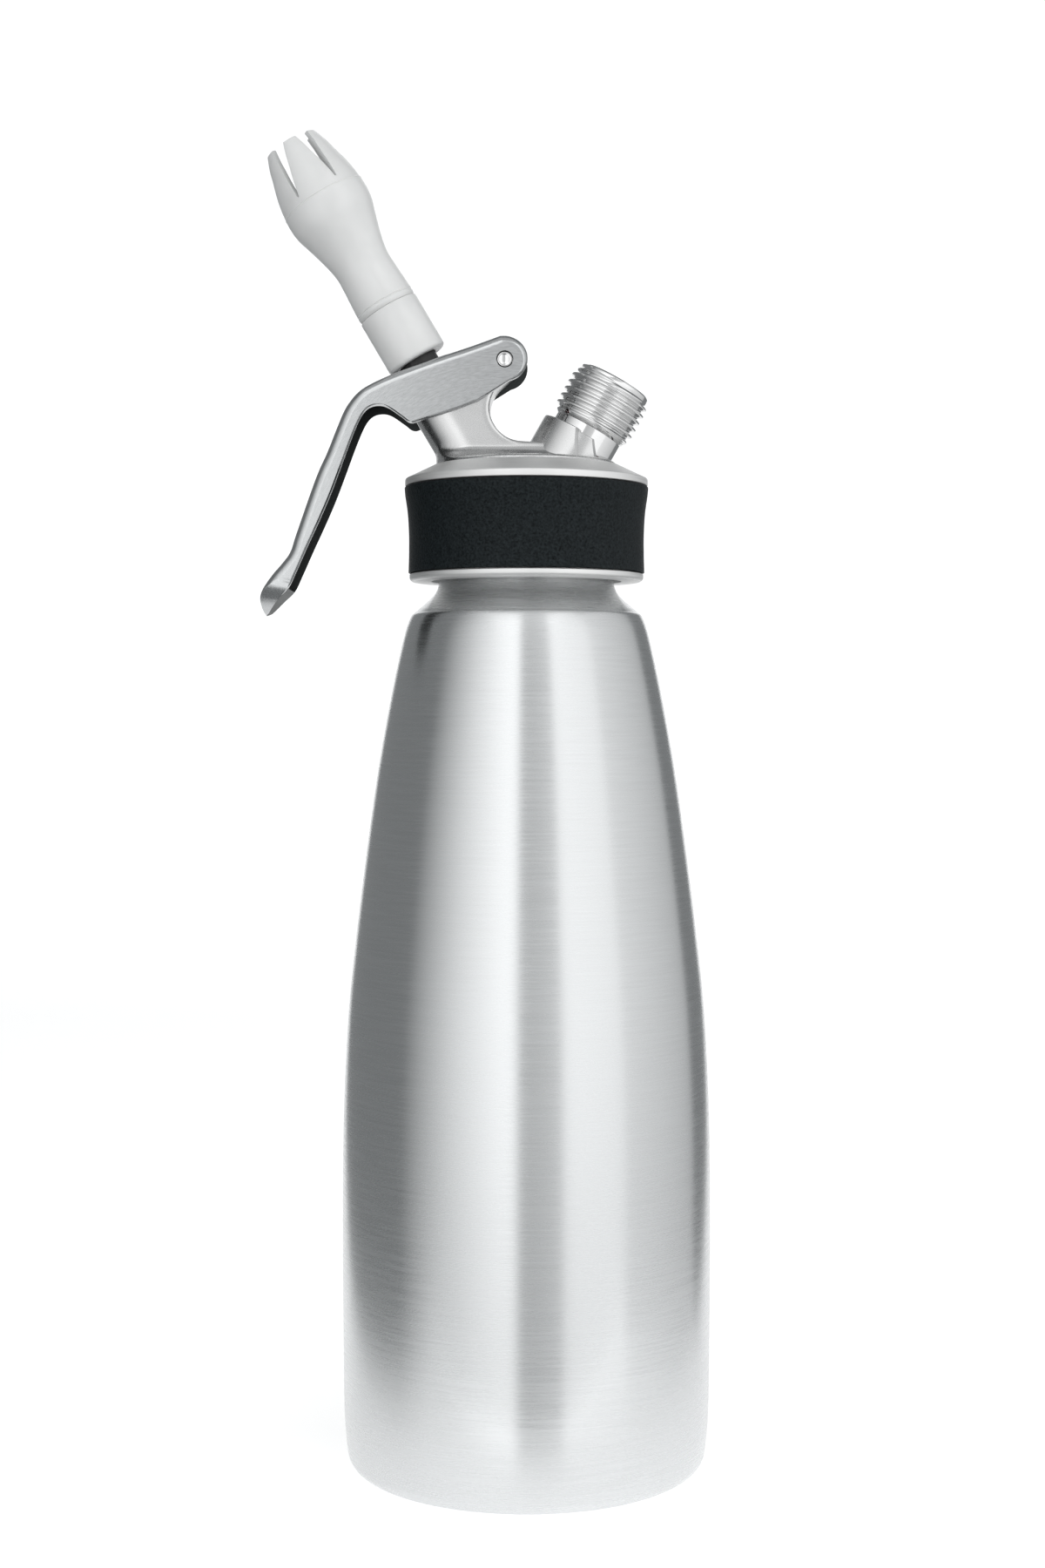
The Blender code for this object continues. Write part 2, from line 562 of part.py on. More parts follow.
def make_valve():
    """The stem with its seals, nut, guide bush, spring, retainer and sleeve, on the nozzle's axis."""
    groove_r = STEM_R - O_RING_GROOVE_DEPTH
    groove_low = O_RING_TOP - O_RING_HEIGHT - GAP
    shoulder_low = SHOULDER_TOP - STEM_SHOULDER_HEIGHT
    floor = -VALVE_BOSS_DEPTH + STEM_FLOOR
    stem = on_nozzle(lathe("valve_stem", [
        (0, STEM_BOTTOM), (STEM_R, STEM_BOTTOM), (STEM_R, groove_low), (groove_r, groove_low),
        (groove_r, O_RING_TOP + GAP), (STEM_R, O_RING_TOP + GAP), (STEM_R, shoulder_low),
        (STEM_SHOULDER_R, shoulder_low), (STEM_SHOULDER_R, SHOULDER_TOP), (STEM_R, SHOULDER_TOP),
        (STEM_R, STEM_TOP), (STEM_BORE_R, STEM_TOP), (STEM_BORE_R, floor), (0, floor)],
        SMALL_SIDES, "polished_steel"))
    hole = rod("cross_hole", CROSS_HOLE_R, -STEM_R - OVERRUN, STEM_R + OVERRUN, HEX_SIDES * 2)
    hole.location = (nozzle_point(CROSS_HOLE_HEIGHT)[0], 0, nozzle_point(CROSS_HOLE_HEIGHT)[1])
    hole.rotation_euler = (math.radians(90), 0, 0)
    cut(stem, hole)
    o_ring_low = O_RING_TOP - O_RING_HEIGHT
    on_nozzle(ring("stem_o_ring", groove_r + GAP, GUIDE_BORE_R - GAP, o_ring_low, O_RING_TOP, "seal_rubber"))
    seal_low = SEAL_TOP - VALVE_SEAL_HEIGHT
    on_nozzle(ring("valve_seal", RUNNING_R, VALVE_SEAL_R, seal_low, SEAL_TOP, "seal_rubber"))
    nut_low = NUT_TOP - VALVE_NUT_HEIGHT
    nut = on_nozzle(ring("valve_nut", RUNNING_R, VALVE_NUT_R, nut_low, NUT_TOP, "satin_steel"))
    hexagon = rod("nut_hexagon", VALVE_NUT_R, nut_low - OVERRUN, NUT_TOP + OVERRUN, HEX_SIDES)
    combine(nut, on_nozzle(hexagon), "INTERSECT")
    bush_low = SPRING_FLOOR - BUSH_DEPTH
    on_nozzle(lathe("guide_bush", [
        (RUNNING_R, bush_low), (GUIDE_BORE_R - GAP, bush_low), (GUIDE_BORE_R - GAP, SPRING_FLOOR + GAP),
        (BUSH_FLANGE_R, SPRING_FLOOR + GAP), (BUSH_FLANGE_R, BUSH_TOP), (RUNNING_R, BUSH_TOP)],
        SMALL_SIDES, "black_plastic"))
    on_nozzle(ring("spring_retainer", RUNNING_R, RETAINER_R, RETAINER_BOTTOM, RETAINER_TOP, "satin_steel"))
    on_nozzle(ring("stem_sleeve", RUNNING_R, SLEEVE_R, RETAINER_TOP + GAP, SLEEVE_TOP, "black_plastic"))
    make_spring()


def ring(name, inner, outer, low, high, colour):
    return lathe(name, [(inner, low), (outer, low), (outer, high), (inner, high)], SMALL_SIDES, colour)


def make_spring():
    """One coil between the bush's flange and the retainer, as a tube along a helix."""
    low = BUSH_TOP + GAP + SPRING_WIRE_R
    high = RETAINER_BOTTOM - GAP - SPRING_WIRE_R
    count = round(SPRING_TURNS * SPRING_STEPS_PER_TURN)
    curve = bpy.data.curves.new("valve_spring", "CURVE")
    curve.dimensions = "3D"
    curve.bevel_depth = SPRING_WIRE_R
    curve.bevel_resolution = 1
    curve.use_fill_caps = True
    line = curve.splines.new("POLY")
    line.points.add(count)
    points = []
    for index in range(count + 1):
        angle = math.tau * index / SPRING_STEPS_PER_TURN
        height = low + (high - low) * index / count
        points.append(Vector((SPRING_R * math.cos(angle), SPRING_R * math.sin(angle), height)))
        line.points[index].co = (*points[index], 1)
    curve.materials.append(material("spring_steel"))
    spring = bpy.data.objects.new("valve_spring", curve)
    bpy.context.collection.objects.link(spring)
    on_nozzle(spring)
    apart = SPRING_STEPS_PER_TURN // 2
    pairs = [(one, other) for index, one in enumerate(points) for other in points[index + apart:]]
    gap = min((one - other).length for one, other in pairs) - 2 * SPRING_WIRE_R
    print("valve_spring: least gap between turns", round(gap / MM, 2), "mm")


def make_nozzle():
    """The adapter collar on the stem, the steel insert and the tulip tip that screws into it."""
    low, high = ADAPTER_BOTTOM, ADAPTER_TOP
    corner = arc((ADAPTER_R - ADAPTER_ROUNDING, low + ADAPTER_ROUNDING), ADAPTER_ROUNDING, -90, 0, 3)
    recess_top = SLEEVE_TOP + GAP
    on_nozzle(lathe("adapter_collar", [(SLEEVE_R + GAP, low)] + corner + [
        (ADAPTER_R, high - ADAPTER_EDGE), (ADAPTER_R - ADAPTER_EDGE, high), (INSERT_SOCKET_R, high),
        (INSERT_SOCKET_R, ADAPTER_FLOOR), (RUNNING_R, ADAPTER_FLOOR), (RUNNING_R, recess_top),
        (SLEEVE_R + GAP, recess_top)], MEDIUM_SIDES, "frosted_plastic"))
    on_nozzle(ring("tip_insert", INSERT_BORE_R, INSERT_R, INSERT_BOTTOM, INSERT_TOP, "satin_steel"))
    outer = [(TIP_R * wide, TIP_BOTTOM + TIP_LENGTH * high) for high, wide in TIP_SHARES]
    bore_low = TIP_BOTTOM + TIP_LENGTH * TIP_BORE_SHARE
    inner = [(radius - TIP_WALL, height) for radius, height in outer if height > bore_low]
    socket_top = INSERT_TOP + GAP
    tip = on_nozzle(lathe("tulip_tip", outer + list(reversed(inner)) + [
        (inner[0][0], socket_top), (INSERT_SOCKET_R, socket_top), (INSERT_SOCKET_R, TIP_BOTTOM)],
        PRONGS * 5, "frosted_plastic"))
    root = TIP_BOTTOM + TIP_LENGTH * SLOT_ROOT_SHARE
    top = TIP_BOTTOM + TIP_LENGTH
    widen = (SLOT_TOP_HALF - SLOT_ROOT_HALF) * OVERRUN / (top - root)
    wedge = [(-SLOT_ROOT_HALF, root), (SLOT_ROOT_HALF, root), (SLOT_TOP_HALF + widen, top + OVERRUN),
             (-SLOT_TOP_HALF - widen, top + OVERRUN)]
    foot = Matrix.Translation((NOZZLE_FOOT_X, 0, NOZZLE_FOOT_Z))
    lean = foot @ Matrix.Rotation(math.radians(NOZZLE_TILT_DEG), 4, "Y")
    for index in range(PRONGS // 2):
        slot = prism("tip_slot_%d" % index, wedge, -TIP_R - OVERRUN, TIP_R + OVERRUN)
        turn = Matrix.Rotation(math.tau * (index + 0.5) / PRONGS, 4, "Z")
        slot.matrix_world = lean @ turn
        cut(tip, slot)


def lever_points(shares):
    return [(-LEVER_REACH * across, LEVER_DROP * up) for across, up in shares]


def make_lever():
    """The lever: a channel with its web outside, from the round end at the pin to the handle's tongue."""
    top = smooth(lever_points(LEVER_TOP_SHARES), 2)
    free = smooth(lever_points(LEVER_FREE_SHARES), 2)
    end = arc((0, 0), LEVER_END_R, LEVER_FREE_END_DEG, 70, 10)
    outline = top + lever_points(LEVER_TIP_SHARES) + free + end
    lever = prism("lever", outline, -LEVER_HALF, LEVER_HALF, "satin_steel")
    place(lever, PIN_X, PIN_Z)
    round_edges(lever, LEVER_EDGE)
    web = offset(top, LEVER_WALL)[:-CHANNEL_STOP]
    opening = arc((0, 0), LEVER_END_R - LEVER_WALL, LEVER_OPEN_DEG, 70, 5)
    below = [(x + OVERRUN, z - OVERRUN) for x, z in free[4:]]
    right = LEVER_END_R + OVERRUN
    channel = web + below + [(right, below[-1][1]), (right, opening[0][1])] + opening
    channel = prism("lever_channel", channel, -LEVER_INNER, LEVER_INNER)
    place(channel, PIN_X, PIN_Z)
    cut(lever, channel)
    half = SLEEVE_R + WEB_SLOT_PLAY
    slot = [(x + WEB_SLOT_EXTRA, y) for x, y in arc((0, 0), half, -90, 90, 8)]
    slot += [(x - WEB_SLOT_EXTRA, y) for x, y in arc((0, 0), half, 90, 270, 8)]
    web_slot = prism("web_slot", [(x, -y) for x, y in slot], SPRING_FLOOR, ADAPTER_TOP)
    web_slot.matrix_world = (Matrix.Translation((NOZZLE_FOOT_X, 0, NOZZLE_FOOT_Z))
                             @ Matrix.Rotation(math.radians(NOZZLE_TILT_DEG), 4, "Y")
                             @ Matrix.Rotation(math.radians(90), 4, "X"))
    cut(lever, web_slot)
    cut(lever, tongue_cutter(top))
    hole = rod("lever_pin_hole", PIN_R + GAP, -LEVER_HALF - OVERRUN, LEVER_HALF + OVERRUN)
    hole.location = (PIN_X, 0, PIN_Z)
    hole.rotation_euler = (math.radians(90), 0, 0)
    cut(lever, hole)
    pin_half = LEVER_HALF - GAP
    rim = pin_half - PIN_DIMPLE_DEPTH
    pin = lathe("lever_pin", [(0, -rim), (PIN_DIMPLE_R, -pin_half), (PIN_R, -pin_half), (PIN_R, pin_half),
                              (PIN_DIMPLE_R, pin_half), (0, rim)], SMALL_SIDES, "polished_steel")
    pin.location = (PIN_X, 0, PIN_Z)
    pin.rotation_euler = (math.radians(90), 0, 0)


def tongue_cutter(top):
    """A block round the handle's end whose inside is the tongue's half-round plan."""
    tip = Vector(lever_points(LEVER_TIP_SHARES)[0])
    along = (tip - Vector(top[-CHANNEL_STOP])).normalized()
    start = tip - along * TONGUE_LENGTH
    plan = [(across * LEVER_HALF, up * TONGUE_LENGTH) for across, up in arc((0, 0), 1, 0, 180, 12)]
    wide = LEVER_HALF + OVERRUN
    high = TONGUE_LENGTH + OVERRUN
    outline = [(wide, 0)] + plan + [(-wide, 0), (-wide, high), (wide, high)]
    deep = 3 * TONGUE_LENGTH
    cutter = prism("tongue_cutter", outline, -deep, deep)
    across = Vector((along.y, -along.x))
    cutter.matrix_world = Matrix(((0, across.x, along.x, PIN_X + start.x), (1, 0, 0, 0),
                                  (0, across.y, along.y, PIN_Z + start.y), (0, 0, 0, 1)))
    return cutter


def main():
    clear_scene()
    make_bottle()
    make_cap()
    make_casting()
    make_stud()
    make_valve()
    make_nozzle()
    make_lever()


main()
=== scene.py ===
"""Whipped cream dispenser: the looks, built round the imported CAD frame.

Everything is in metres in the frame's own axes: the bottle stands on Z = 0 with its axis on Z, the lever
and the nozzle lean to -X, the charger stud leans to +X, and the lever's pin runs along Y. Most pieces are
turned profiles, written as (radius, height) outlines about the axis of the bottle, the nozzle or the stud.
"""
import math

import bmesh
import bpy
from mathutils import Matrix, Vector


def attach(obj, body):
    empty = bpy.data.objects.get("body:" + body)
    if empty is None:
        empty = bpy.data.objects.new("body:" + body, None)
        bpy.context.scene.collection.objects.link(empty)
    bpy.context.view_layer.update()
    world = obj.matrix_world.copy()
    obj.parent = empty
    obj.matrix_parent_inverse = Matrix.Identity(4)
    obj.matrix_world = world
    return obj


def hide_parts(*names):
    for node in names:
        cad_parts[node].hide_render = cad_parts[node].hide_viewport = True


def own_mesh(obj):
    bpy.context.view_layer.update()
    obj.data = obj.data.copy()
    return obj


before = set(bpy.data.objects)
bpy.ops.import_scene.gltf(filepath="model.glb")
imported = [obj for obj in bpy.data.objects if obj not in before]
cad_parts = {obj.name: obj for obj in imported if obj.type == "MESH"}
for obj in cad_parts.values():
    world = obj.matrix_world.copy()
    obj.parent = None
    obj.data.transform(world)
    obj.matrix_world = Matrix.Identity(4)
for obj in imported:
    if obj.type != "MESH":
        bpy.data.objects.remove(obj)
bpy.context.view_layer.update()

MM = 0.001
GAP = 0.3 * MM                 # between pieces that touch or seat on each other
OVERRUN = 3.0 * MM             # how far every cutter runs past what it cuts
EDGE = 0.25 * MM               # rounding of turned edges
PLASTIC_EDGE = 0.3 * MM
CAP_EDGE = 0.35 * MM
GRIP_EDGE = 0.45 * MM
TOOTH_STEEPNESS = 1.25         # of a thread's flanks, where 1 runs from valley to crest without a flat
TOOTH_VALLEY = 0.1             # how much of the flank the flat valley takes away

# Round pieces: how many sides
LARGE_SIDES = 160
MEDIUM_SIDES = 96
SMALL_SIDES = 48
SHARP_DEG = 32                 # edges that bend more than this are shaded sharp

# Bottle
BODY_R = 47.3 * MM
BASE_FLAT_R = 42.4 * MM
BASE_CORNER_Z = 3.9 * MM
SHOULDER_R = 30.0 * MM
SHOULDER_Z = 217.0 * MM
NECK_R = 22.5 * MM
NECK_START_Z = 227.0 * MM
NECK_TOP_Z = 245.6 * MM
BOTTLE_WALL = 1.2 * MM
SIDE_SHARES = ((0.018, 0.925), (0.06, 0.971), (0.14, 0.988), (0.28, 1.0), (0.41, 0.985), (0.53, 0.913),
               (0.62, 0.803), (0.72, 0.65), (0.82, 0.475), (0.91, 0.275), (0.975, 0.10), (1.0, 0.0))
SHOULDER_SHARES = ((0.14, 0.84), (0.32, 0.56), (0.5, 0.293), (0.66, 0.12), (0.82, 0.03), (1.0, 0.0))
BASE_CORNER_SHARES = ((0.45, 0.07), (0.8, 0.4))

# Threaded collar on the neck
COLLAR_WALL = 1.4 * MM
COLLAR_Z = 230.0 * MM
COLLAR_HEIGHT = 13.0 * MM
COLLAR_CHAMFER = 0.6 * MM
NECK_THREAD_PITCH = 4.0 * MM
NECK_THREAD_DEPTH = 0.9 * MM

# Cap shell and grip band
CAP_BOTTOM_Z = 226.3 * MM
RIM_R = 30.15 * MM
RIM_HEIGHT = 2.0 * MM
RIM_CHAMFER = 0.7 * MM
CORE_WALL = 3.2 * MM
FLANGE_R = 31.3 * MM
FLANGE_Z = 250.9 * MM
FLANGE_HEIGHT = 1.8 * MM
CONE_TOP_R = 23.6 * MM
CONE_TOP_Z = 256.4 * MM
SEAT_DEPTH = 2.8 * MM
SPIGOT_R = 17.9 * MM
GASKET_HEIGHT = 2.7 * MM
GRIP_TOP_R = 31.45 * MM
GRIP_WAIST_R = 30.3 * MM
GRIP_SHARES = ((0.0, 0.12), (0.05, 0.09), (0.2, 0.02), (0.4, 0.0),
               (0.6, 0.15), (0.75, 0.42), (0.9, 0.85), (1.0, 1.0))

# Casting of the head
DISC_SIDE = 0.5 * MM
DISC_CHAMFER = 0.9 * MM
DISC_CROWN = 0.8 * MM
FOOT_SPREAD = 10.0 * MM        # how far the post's foot flares out over the disc
TUBE_R = 8.6 * MM
EAR_R = 3.7 * MM
EAR_FROM_DEG = -45
EAR_TO_DEG = 200
HOOK_R = 8.4 * MM
HOOK_FROM_DEG = 270
HOOK_TO_DEG = 135
HOOK_X = -1.0 * MM
HOOK_Z = 270.4 * MM
SADDLE_DROP = 0.8 * MM
CASTING_VOXEL = 0.42 * MM      # size of the cubes that merge the casting's joins
CASTING_SMOOTHING = 22         # how many times the merged mesh is relaxed

# Nozzle axis: heights along it are counted from its foot
NOZZLE_FOOT_X = -12.0 * MM
NOZZLE_FOOT_Z = 256.5 * MM
NOZZLE_TILT_DEG = -30.5
TUBE_TOP = 19.5 * MM
SPRING_FLOOR = 5.5 * MM
SPRING_BORE_R = 7.0 * MM
GUIDE_BORE_R = 5.2 * MM
VALVE_BOSS_R = 6.6 * MM
VALVE_BOSS_DEPTH = 12.9 * MM
STEM_R = 3.4 * MM
BUSH_FLANGE_HEIGHT = 1.5 * MM
SPRING_WIRE_R = 0.55 * MM
SPRING_R = 5.4 * MM
SPRING_TURNS = 5.5
RETAINER_BOTTOM = 23.6 * MM
SLEEVE_R = 5.0 * MM
SLEEVE_IN_ADAPTER = 1.7 * MM
ADAPTER_R = 8.1 * MM
ADAPTER_BOTTOM = 31.4 * MM
ADAPTER_TOP = 46.6 * MM
ADAPTER_ROUNDING = 1.1 * MM
INSERT_R = 5.9 * MM
INSERT_IN_ADAPTER = 4.3 * MM
INSERT_IN_TIP = 4.1 * MM
TIP_R = 11.36 * MM
TIP_LENGTH = 49.1 * MM
TIP_WALL = 1.7 * MM
TIP_SHARES = ((0.0, 0.682), (0.015, 0.704), (0.05, 0.700), (0.13, 0.679), (0.20, 0.661), (0.26, 0.656),
              (0.32, 0.694), (0.40, 0.781), (0.487, 0.892), (0.54, 0.963), (0.60, 0.998), (0.66, 0.992),
              (0.73, 0.956), (0.79, 0.906), (0.87, 0.810), (0.93, 0.745), (1.0, 0.634))
TIP_BORE_SHARE = 0.16
BEAD_HEIGHT = 1.5 * MM
BEAD_GROOVE = 0.22 * MM
RING_SHARE = 0.665
RING_RAISED = 0.16 * MM
TIP_SEATED = 0.24 * MM         # how far the tip's foot reaches into the gap to the collar
PRONGS = 6
SIDES_PER_PRONG = 20
SLOT_ROOT_SHARE = 0.70
SLOT_ROOT_HALF = 0.25 * MM
SLOT_TOP_HALF = 1.95 * MM

# Lever
PIN_X = -5.5 * MM
PIN_Z = 282.5 * MM
PIN_R = 1.87 * MM
PIN_DIMPLE_R = 1.45 * MM
PIN_DIMPLE_DEPTH = 0.7 * MM
LEVER_HALF = 10.4 * MM
LEVER_WALL = 1.5 * MM
LEVER_BEND_R = 2.4 * MM        # rounding along the web
LEVER_EDGE_SHARE = 0.25        # rounding of the other edges, as a share of it
LEVER_END_R = 5.6 * MM
LEVER_CROWN_R = 6.3 * MM       # from the pin to the top of the round end
LEVER_END_FROM_DEG = -75
LEVER_END_TO_DEG = 95
LEVER_REACH = 62.6 * MM
LEVER_DROP = 65.0 * MM
LEVER_TOP_SHARES = ((0.02, 0.096), (0.14, 0.054), (0.29, 0.006), (0.465, -0.057), (0.556, -0.098),
                    (0.60, -0.128), (0.631, -0.163), (0.655, -0.200), (0.685, -0.268), (0.724, -0.363),
                    (0.77, -0.463), (0.848, -0.677), (0.874, -0.752), (0.907, -0.797), (0.947, -0.842),
                    (0.986, -0.897), (0.997, -0.935), (0.993, -0.972))
LEVER_TIP_SHARES = ((0.984, -0.999),)
LEVER_FREE_SHARES = ((0.968, -0.990), (0.927, -0.942), (0.880, -0.897), (0.848, -0.834), (0.802, -0.734),
                     (0.757, -0.640), (0.711, -0.538), (0.671, -0.437), (0.633, -0.337), (0.599, -0.255),
                     (0.574, -0.211), (0.545, -0.188), (0.506, -0.182), (0.470, -0.193), (0.420, -0.226),
                     (0.382, -0.250), (0.335, -0.238), (0.211, -0.200), (0.109, -0.163))
LEVER_CURVE_STEPS = 4
CHANNEL_STOP = 12              # points of the web's line, from the tip, that the channel leaves solid
CHANNEL_OPENS_FROM_DEG = 22
CHANNEL_OPENS_TO_DEG = 70
WEB_SLOT_PLAY = 1.2 * MM
WEB_SLOT_EXTRA = 1.0 * MM
TONGUE_LENGTH = 10.4 * MM
GRAIN_CENTRE = Vector((-5.0, 0.0, 225.0)) * MM      # of the arcs that the lever's brushing follows

# Charger stud, on its own leaning axis
STUD_X = 13.1 * MM
STUD_Z = 260.57 * MM
STUD_TILT_DEG = 29.5
STUD_R = 9.2 * MM
STUD_SEAT = -1.4 * MM
STUD_BOTTOM = 0.2 * MM
STUD_SHANK_R = 5.0 * MM
STUD_SHANK_END = -7.2 * MM
CHECK_DISC_HEIGHT = 1.0 * MM
THREAD_R = 10.9 * MM
THREAD_ROOT_R = 9.75 * MM
THREAD_PITCH = 2.0 * MM
THREAD_START = 6.5 * MM
THREAD_END = 18.9 * MM
THREAD_CHAMFER = 0.5 * MM
STUD_TOP = 20.2 * MM
SOCKET_R = 7.4 * MM
SOCKET_FLOOR = 11.0 * MM
CHARGER_NECK_R = 4.8 * MM
CHARGER_FLOOR = 3.0 * MM
GAS_BORE_R = 1.2 * MM
VENT_R = 0.75 * MM
VENT_HEIGHT = 6.4 * MM
VENT_AZIMUTH_DEG = 226
JET_R = 2.2 * MM
JET_HEIGHT = 4.4 * MM
BOSS_R = 11.6 * MM
BOSS_TOP = 3.8 * MM
BOSS_TRIM_R = 16.8 * MM
BOSS_STEP_R = 10.4 * MM
BOSS_STEP_TOP = 3.4 * MM
BOSS_STEP_TRIM_R = 19.5 * MM
BOSS_EDGE = 0.6 * MM
BOSS_ROOT = 8.0 * MM
BOSS_STEP_ROOT = 7.0 * MM

# Colours, and the part of a noise's range that a material uses
BOTTLE_STEEL = (0.67, 0.68, 0.685)
TURNED_STEEL = (0.84, 0.84, 0.835)
POLISHED_STEEL = (0.73, 0.73, 0.73)
LEVER_STEEL = (0.53, 0.54, 0.545)
# painted shade: near-black colour for the inside of the lever's channel and the underside of its tongue
LEVER_PAINTED_SHADE = (0.06, 0.065, 0.065)
CAST_STEEL = (0.64, 0.64, 0.64)
GRIP_BLACK = (0.0035, 0.0062, 0.0073)
FROSTED_WHITE = (0.80, 0.805, 0.80)
SEAL_RED = (0.42, 0.035, 0.03)
PLASTIC_BLACK = (0.014, 0.014, 0.015)
STUDIO_WHITE = (0.93, 0.93, 0.93)
NOISE_LOW = 0.25
NOISE_HIGH = 0.75

# Studio: each softbox has its two directions in degrees and its brightness at each
SWEEP_FRONT_Y = -0.095
SWEEP_FRONT_HALF = 0.118
SWEEP_BACK_Y = 1.4
SWEEP_BACK_HALF = 0.52
SWEEP_BEND = 0.5
SWEEP_HEIGHT = 1.6
WHITE_LIFT = 0.57              # what the camera and reflections see above the floor's own light
ROOM_GREY = (0.235, 0.243, 0.247)
SOFTBOX_DISTANCE = 1.3
SOFTBOX_HEIGHT = 2.3
SOFTBOX_LIFT = -0.5
SOFTBOXES = (("key_far", -80, -46, 0.05, 0.75),
             ("key", -46, -5.5, 0.75, 1.4),
             ("front", -5.5, 22, 0.34, 0.6),
             ("fill", 22, 62, 1.15, 1.0),
             ("side", 62, 125, 0.8, 0.35))
OVERHEAD_SIZE = 2.2
OVERHEAD_Y = -0.95
OVERHEAD_Z = 1.7
OVERHEAD_BRIGHTNESS = 0.34
CAMERA_PLACE = (0, -0.621, 0.194)
CAMERA_LENS_MM = 55.2
CAMERA_SENSOR_MM = 36
CAMERA_SHIFT_X = -0.0025
CAMERA_SHIFT_Y = -0.0489

# Sizes that follow from the ones above
COLLAR_R = NECK_R + GAP + COLLAR_WALL
CAP_BORE_R = COLLAR_R + GAP
CORE_R = CAP_BORE_R + CORE_WALL
CAP_UNDERSIDE_Z = NECK_TOP_Z + GASKET_HEIGHT + 2 * GAP
DISC_R = CONE_TOP_R - GAP
SEAT_Z = CONE_TOP_Z - SEAT_DEPTH
DISC_SIDE_TOP_Z = CONE_TOP_Z + DISC_SIDE
DISC_TOP_Z = DISC_SIDE_TOP_Z + DISC_CHAMFER / 2
RUNNING_R = STEM_R + GAP
SLEEVE_TOP = ADAPTER_BOTTOM + SLEEVE_IN_ADAPTER
ADAPTER_FLOOR = ADAPTER_TOP - INSERT_IN_ADAPTER - GAP
TIP_BOTTOM = ADAPTER_TOP + GAP
INSERT_TOP = TIP_BOTTOM + INSERT_IN_TIP
INSERT_SOCKET_R = INSERT_R + GAP
LEVER_INNER = LEVER_HALF - LEVER_WALL
SADDLE_Z = HOOK_Z - HOOK_R
CHECK_FLOOR = STUD_SHANK_END - CHECK_DISC_HEIGHT - 2 * GAP


def arc(centre, radius, start_deg, end_deg, steps):
    """Points along an arc in a plane, both ends included."""
    points = []
    for step in range(steps + 1):
        angle = math.radians(start_deg + (end_deg - start_deg) * step / steps)
        points.append((centre[0] + radius * math.cos(angle), centre[1] + radius * math.sin(angle)))
    return points


def smooth(points, steps):
    """A smooth curve through the points, with some steps between each pair."""
    result = []
    for index in range(len(points) - 1):
        before = Vector(points[max(index - 1, 0)])
        start = Vector(points[index])
        end = Vector(points[index + 1])
        after = Vector(points[min(index + 2, len(points) - 1)])
        for step in range(steps):
            t = step / steps
            spot = (start * 2 + (end - before) * t + (before * 2 - start * 5 + end * 4 - after) * t ** 2
                    + (start * 3 - before - end * 3 + after) * t ** 3) / 2
            result.append((spot.x, spot.y))
    result.append(tuple(points[-1]))
    return result


def offset(points, distance):
    """The open line of points moved sideways, to the left of its direction."""
    result = []
    for index, point in enumerate(points):
        before = Vector(points[max(index - 1, 0)])
        after = Vector(points[min(index + 1, len(points) - 1)])
        along = (after - before).normalized()
        result.append((point[0] - along.y * distance, point[1] + along.x * distance))
    return result


def soften(outline, radius=EDGE, steps=3, least_deg=20):
    """The closed outline with its sharp corners rounded, by less than half of each side."""
    most_share = 0.45
    result = []
    for index, point in enumerate(outline):
        here = Vector(point)
        back = Vector(outline[index - 1]) - here
        ahead = Vector(outline[(index + 1) % len(outline)]) - here
        if point[0] <= 0 or math.pi - back.angle(ahead) < math.radians(least_deg):
            result.append(tuple(point))
            continue
        start = here + back.normalized() * min(radius, back.length * most_share)
        end = here + ahead.normalized() * min(radius, ahead.length * most_share)
        for step in range(steps + 1):
            t = step / steps
            result.append(tuple(start * (1 - t) ** 2 + here * 2 * t * (1 - t) + end * t ** 2))
    return result


def add_object(name, data):
    made = bpy.data.objects.new(name, data)
    bpy.context.scene.collection.objects.link(made)
    return made


def new_object(name, builder):
    """Close a bmesh into an object with outward faces and smooth shading."""
    bmesh.ops.recalc_face_normals(builder, faces=builder.faces)
    mesh = bpy.data.meshes.new(name)
    builder.to_mesh(mesh)
    builder.free()
    mesh.shade_smooth()
    mesh.set_sharp_from_angle(angle=math.radians(SHARP_DEG))
    return add_object(name, mesh)


def lathe(name, outline, sides, shape=None):
    """Turn a closed (radius, height) outline about Z; shape may change a radius by height and angle."""
    builder = bmesh.new()
    rings = []
    for radius, height in outline:
        if radius <= 0:
            rings.append([builder.verts.new((0, 0, height))])
            continue
        ring = []
        for side in range(sides):
            angle = math.tau * (side + 0.5) / sides
            r = shape(radius, height, angle) if shape else radius
            ring.append(builder.verts.new((r * math.cos(angle), r * math.sin(angle), height)))
        rings.append(ring)
    for index, lower in enumerate(rings):
        upper = rings[(index + 1) % len(rings)]
        for side in range(sides):
            following = (side + 1) % sides
            corners = [lower[side % len(lower)], lower[following % len(lower)],
                       upper[following % len(upper)], upper[side % len(upper)]]
            distinct = list(dict.fromkeys(corners))
            if len(distinct) > 2:
                builder.faces.new(distinct)
    return new_object(name, builder)


def skin(name, rings):
    """A closed body through rings of equally many points, with a cap at each end."""
    builder = bmesh.new()
    layers = [[builder.verts.new(point) for point in ring] for ring in rings]
    for near, far in zip(layers, layers[1:]):
        for index in range(len(near)):
            following = (index + 1) % len(near)
            builder.faces.new((near[following], near[index], far[index], far[following]))
    builder.faces.new(layers[0])
    builder.faces.new(list(reversed(layers[-1])))
    return new_object(name, builder)


def prism(name, outline, low, high):
    """Extrude a closed (x, z) outline along Y from low to high."""
    return skin(name, [[(x, y, z) for x, z in outline] for y in (low, high)])


def rod(name, radius, low, high, sides=SMALL_SIDES):
    """A plain round bar along Z, used to cut or to join."""
    return lathe(name, [(0, low), (radius, low), (radius, high), (0, high)], sides)


